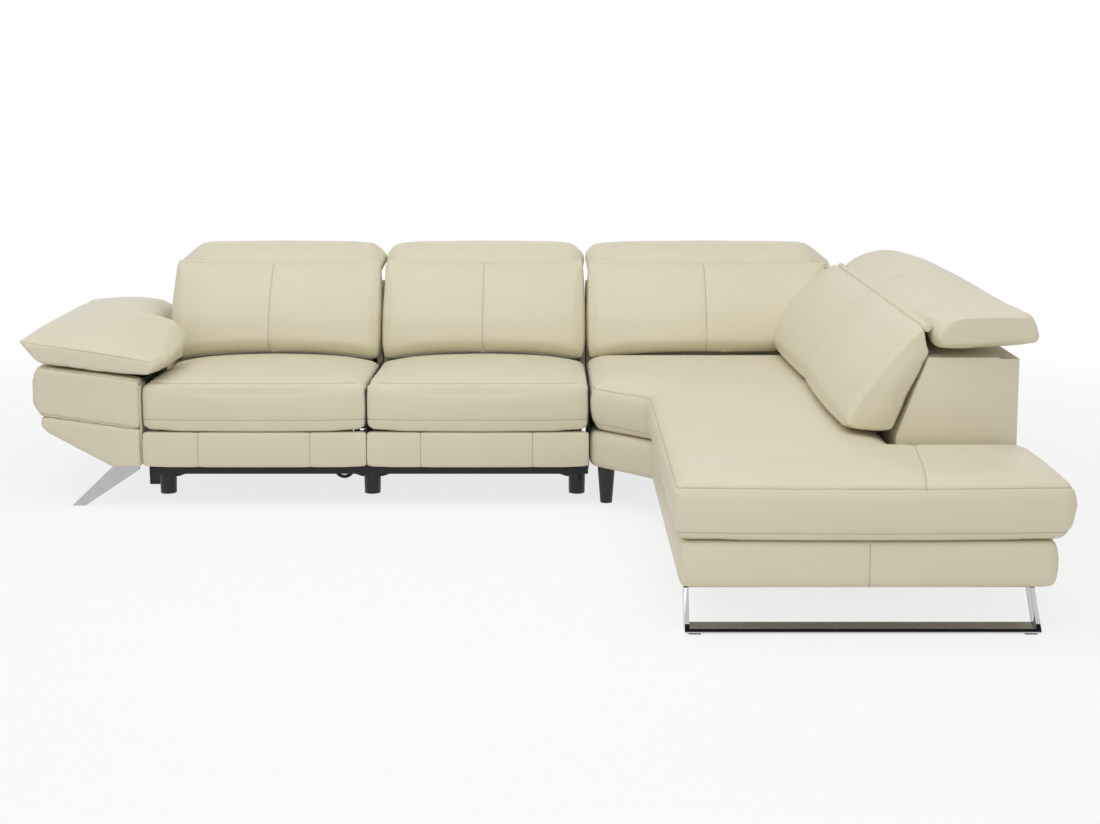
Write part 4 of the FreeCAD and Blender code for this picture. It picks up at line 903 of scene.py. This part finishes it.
def makeFeet():
    feet = copyOfNodes("reclinerFeet", ["recliner_feet"])
    withModifier(feet, "DISPLACE", strength=footForm["growth"], mid_level=0.0)
    where = places(feet)
    where[:, 2] = np.clip(where[:, 2], 0.0, footForm["top"])
    setPlaces(feet, where)
    softenEdges(feet, footForm["edge"], 2, 50)
    dress(feet, blackPlastic, "sofa_body", ["recliner_feet"], 40)


sledForm = {"barLow": 0.108, "barHigh": 0.1295, "barTop": 0.1285, "edge": 0.0008}


def makeSled():
    # The sled's upper bar lies flat against the base
    sled = copyOfNodes("sledFrame", ["sled_leg"])
    where = places(sled)
    inner = (where[:, 2] > sledForm["barLow"]) & (where[:, 2] < sledForm["barHigh"])
    where[inner, 2] = sledForm["barTop"]
    setPlaces(sled, where)
    softenEdges(sled, sledForm["edge"], 2, 40)
    dress(sled, sledChrome, "sofa_body", ["sled_leg"], 35)


makeLining("left")
makeLining("middle")
makeDividers()
makeFrontRail()
makeFeet()
makeSled()
print("rail, feet and sled made")


# Finishes of the frame's own nodes
finishes = {
    "arm_legs": paleMetal, "sled_glides": blackPlastic, "corner_legs": blackPlastic,
    "power_cable_loop": cableSheath, "arm_side_panel": ivoryLeather,
    "recline_rod_left": brightChrome, "recline_rod_middle": brightChrome,
    "seat_webbing_left": seatWebbing, "seat_webbing_middle": seatWebbing,
}
for item in bpy.data.objects:
    if "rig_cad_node" in item and not item.hide_render:
        item.data.materials.clear()
        item.data.materials.append(finishes.get(item.name, darkSteel))
print("frame nodes finished")


# Floor, light and camera
room = {"floorSize": 60, "floorDrop": 0.0005, "floorColour": (0.92, 0.92, 0.92, 1), "roughness": 0.95,
        "specular": 0.1, "white": (1, 1, 1, 1), "fromMiddle": (2.0, 5.0), "whiten": (0.78, 1.0),
        "ambient": 0.42}
lamps = {
    "overhead": {"place": (-0.5, -0.9, 4.1), "aim": (-0.3, 0.0, 0.4), "size": (6, 5), "power": 112},
    "front": {"place": (0.6, -5.6, 1.5), "aim": (0.5, -0.5, 0.3), "size": (4, 2.5), "power": 36},
}
lens = {"sensor": 36, "length": 59.27, "shiftY": -0.0925, "place": (0.1875, -5.6865, 1.477), "tilt": 82.1}


def seenDirectly(tree):
    # What the camera sees itself, in a mirror or through glass
    path = addNode(tree, "ShaderNodeLightPath")
    seen = calculate(tree, "MAXIMUM", path.outputs["Is Camera Ray"], path.outputs["Is Glossy Ray"])
    return calculate(tree, "MAXIMUM", seen, path.outputs["Is Transmission Ray"])


def makeFloor():
    bpy.ops.object.select_all(action="DESELECT")
    bpy.ops.mesh.primitive_plane_add(size=room["floorSize"], location=(0, 0, -room["floorDrop"]))
    floor = bpy.context.object
    floor.name = "studioFloor"
    material, tree, shader = newMaterial("whiteFloor")
    shader.inputs["Base Color"].default_value = room["floorColour"]
    shader.inputs["Roughness"].default_value = room["roughness"]
    shader.inputs["Specular IOR Level"].default_value = room["specular"]
    shine = addNode(tree, "ShaderNodeEmission", Color=room["white"], Strength=1.0)
    away = addNode(tree, "ShaderNodeVectorMath", {"operation": "LENGTH"},
                   i0=addNode(tree, "ShaderNodeTexCoord").outputs["Object"])
    whiten = softStep(tree, away.outputs["Value"], *room["fromMiddle"], *room["whiten"])
    share = calculate(tree, "MULTIPLY", seenDirectly(tree), whiten)
    both = addNode(tree, "ShaderNodeMixShader", i0=share, i1=shader.outputs[0], i2=shine.outputs[0])
    tree.links.new(both.outputs[0], tree.nodes["Material Output"].inputs["Surface"])
    floor.data.materials.append(material)


def makeSurroundings():
    world = bpy.data.worlds.new("studio")
    scene.world = world
    world.use_nodes = True
    tree = world.node_tree
    lift = calculate(tree, "ADD", room["ambient"],
                     calculate(tree, "MULTIPLY", seenDirectly(tree), 1 - room["ambient"]))
    background = tree.nodes["Background"]
    background.inputs["Color"].default_value = room["white"]
    tree.links.new(lift, background.inputs["Strength"])


def makeLamp(name, place, aim, size, power):
    lamp = bpy.data.lights.new(name, "AREA")
    lamp.shape = "RECTANGLE"
    lamp.size, lamp.size_y = size
    lamp.energy = power
    item = bpy.data.objects.new(name, lamp)
    scene.collection.objects.link(item)
    item.location = place
    item.rotation_euler = (Vector(aim) - Vector(place)).to_track_quat("-Z", "Y").to_euler()


def makeCamera():
    camera = bpy.data.cameras.new("viewer")
    camera.sensor_width = lens["sensor"]
    camera.lens = lens["length"]
    camera.shift_y = lens["shiftY"]
    item = bpy.data.objects.new("viewer", camera)
    scene.collection.objects.link(item)
    item.location = lens["place"]
    item.rotation_euler = (math.radians(lens["tilt"]), 0, 0)
    scene.camera = item


makeFloor()
makeSurroundings()
for name, values in lamps.items():
    makeLamp(name, **values)
makeCamera()
scene.view_settings.view_transform = "Standard"
print("room made")
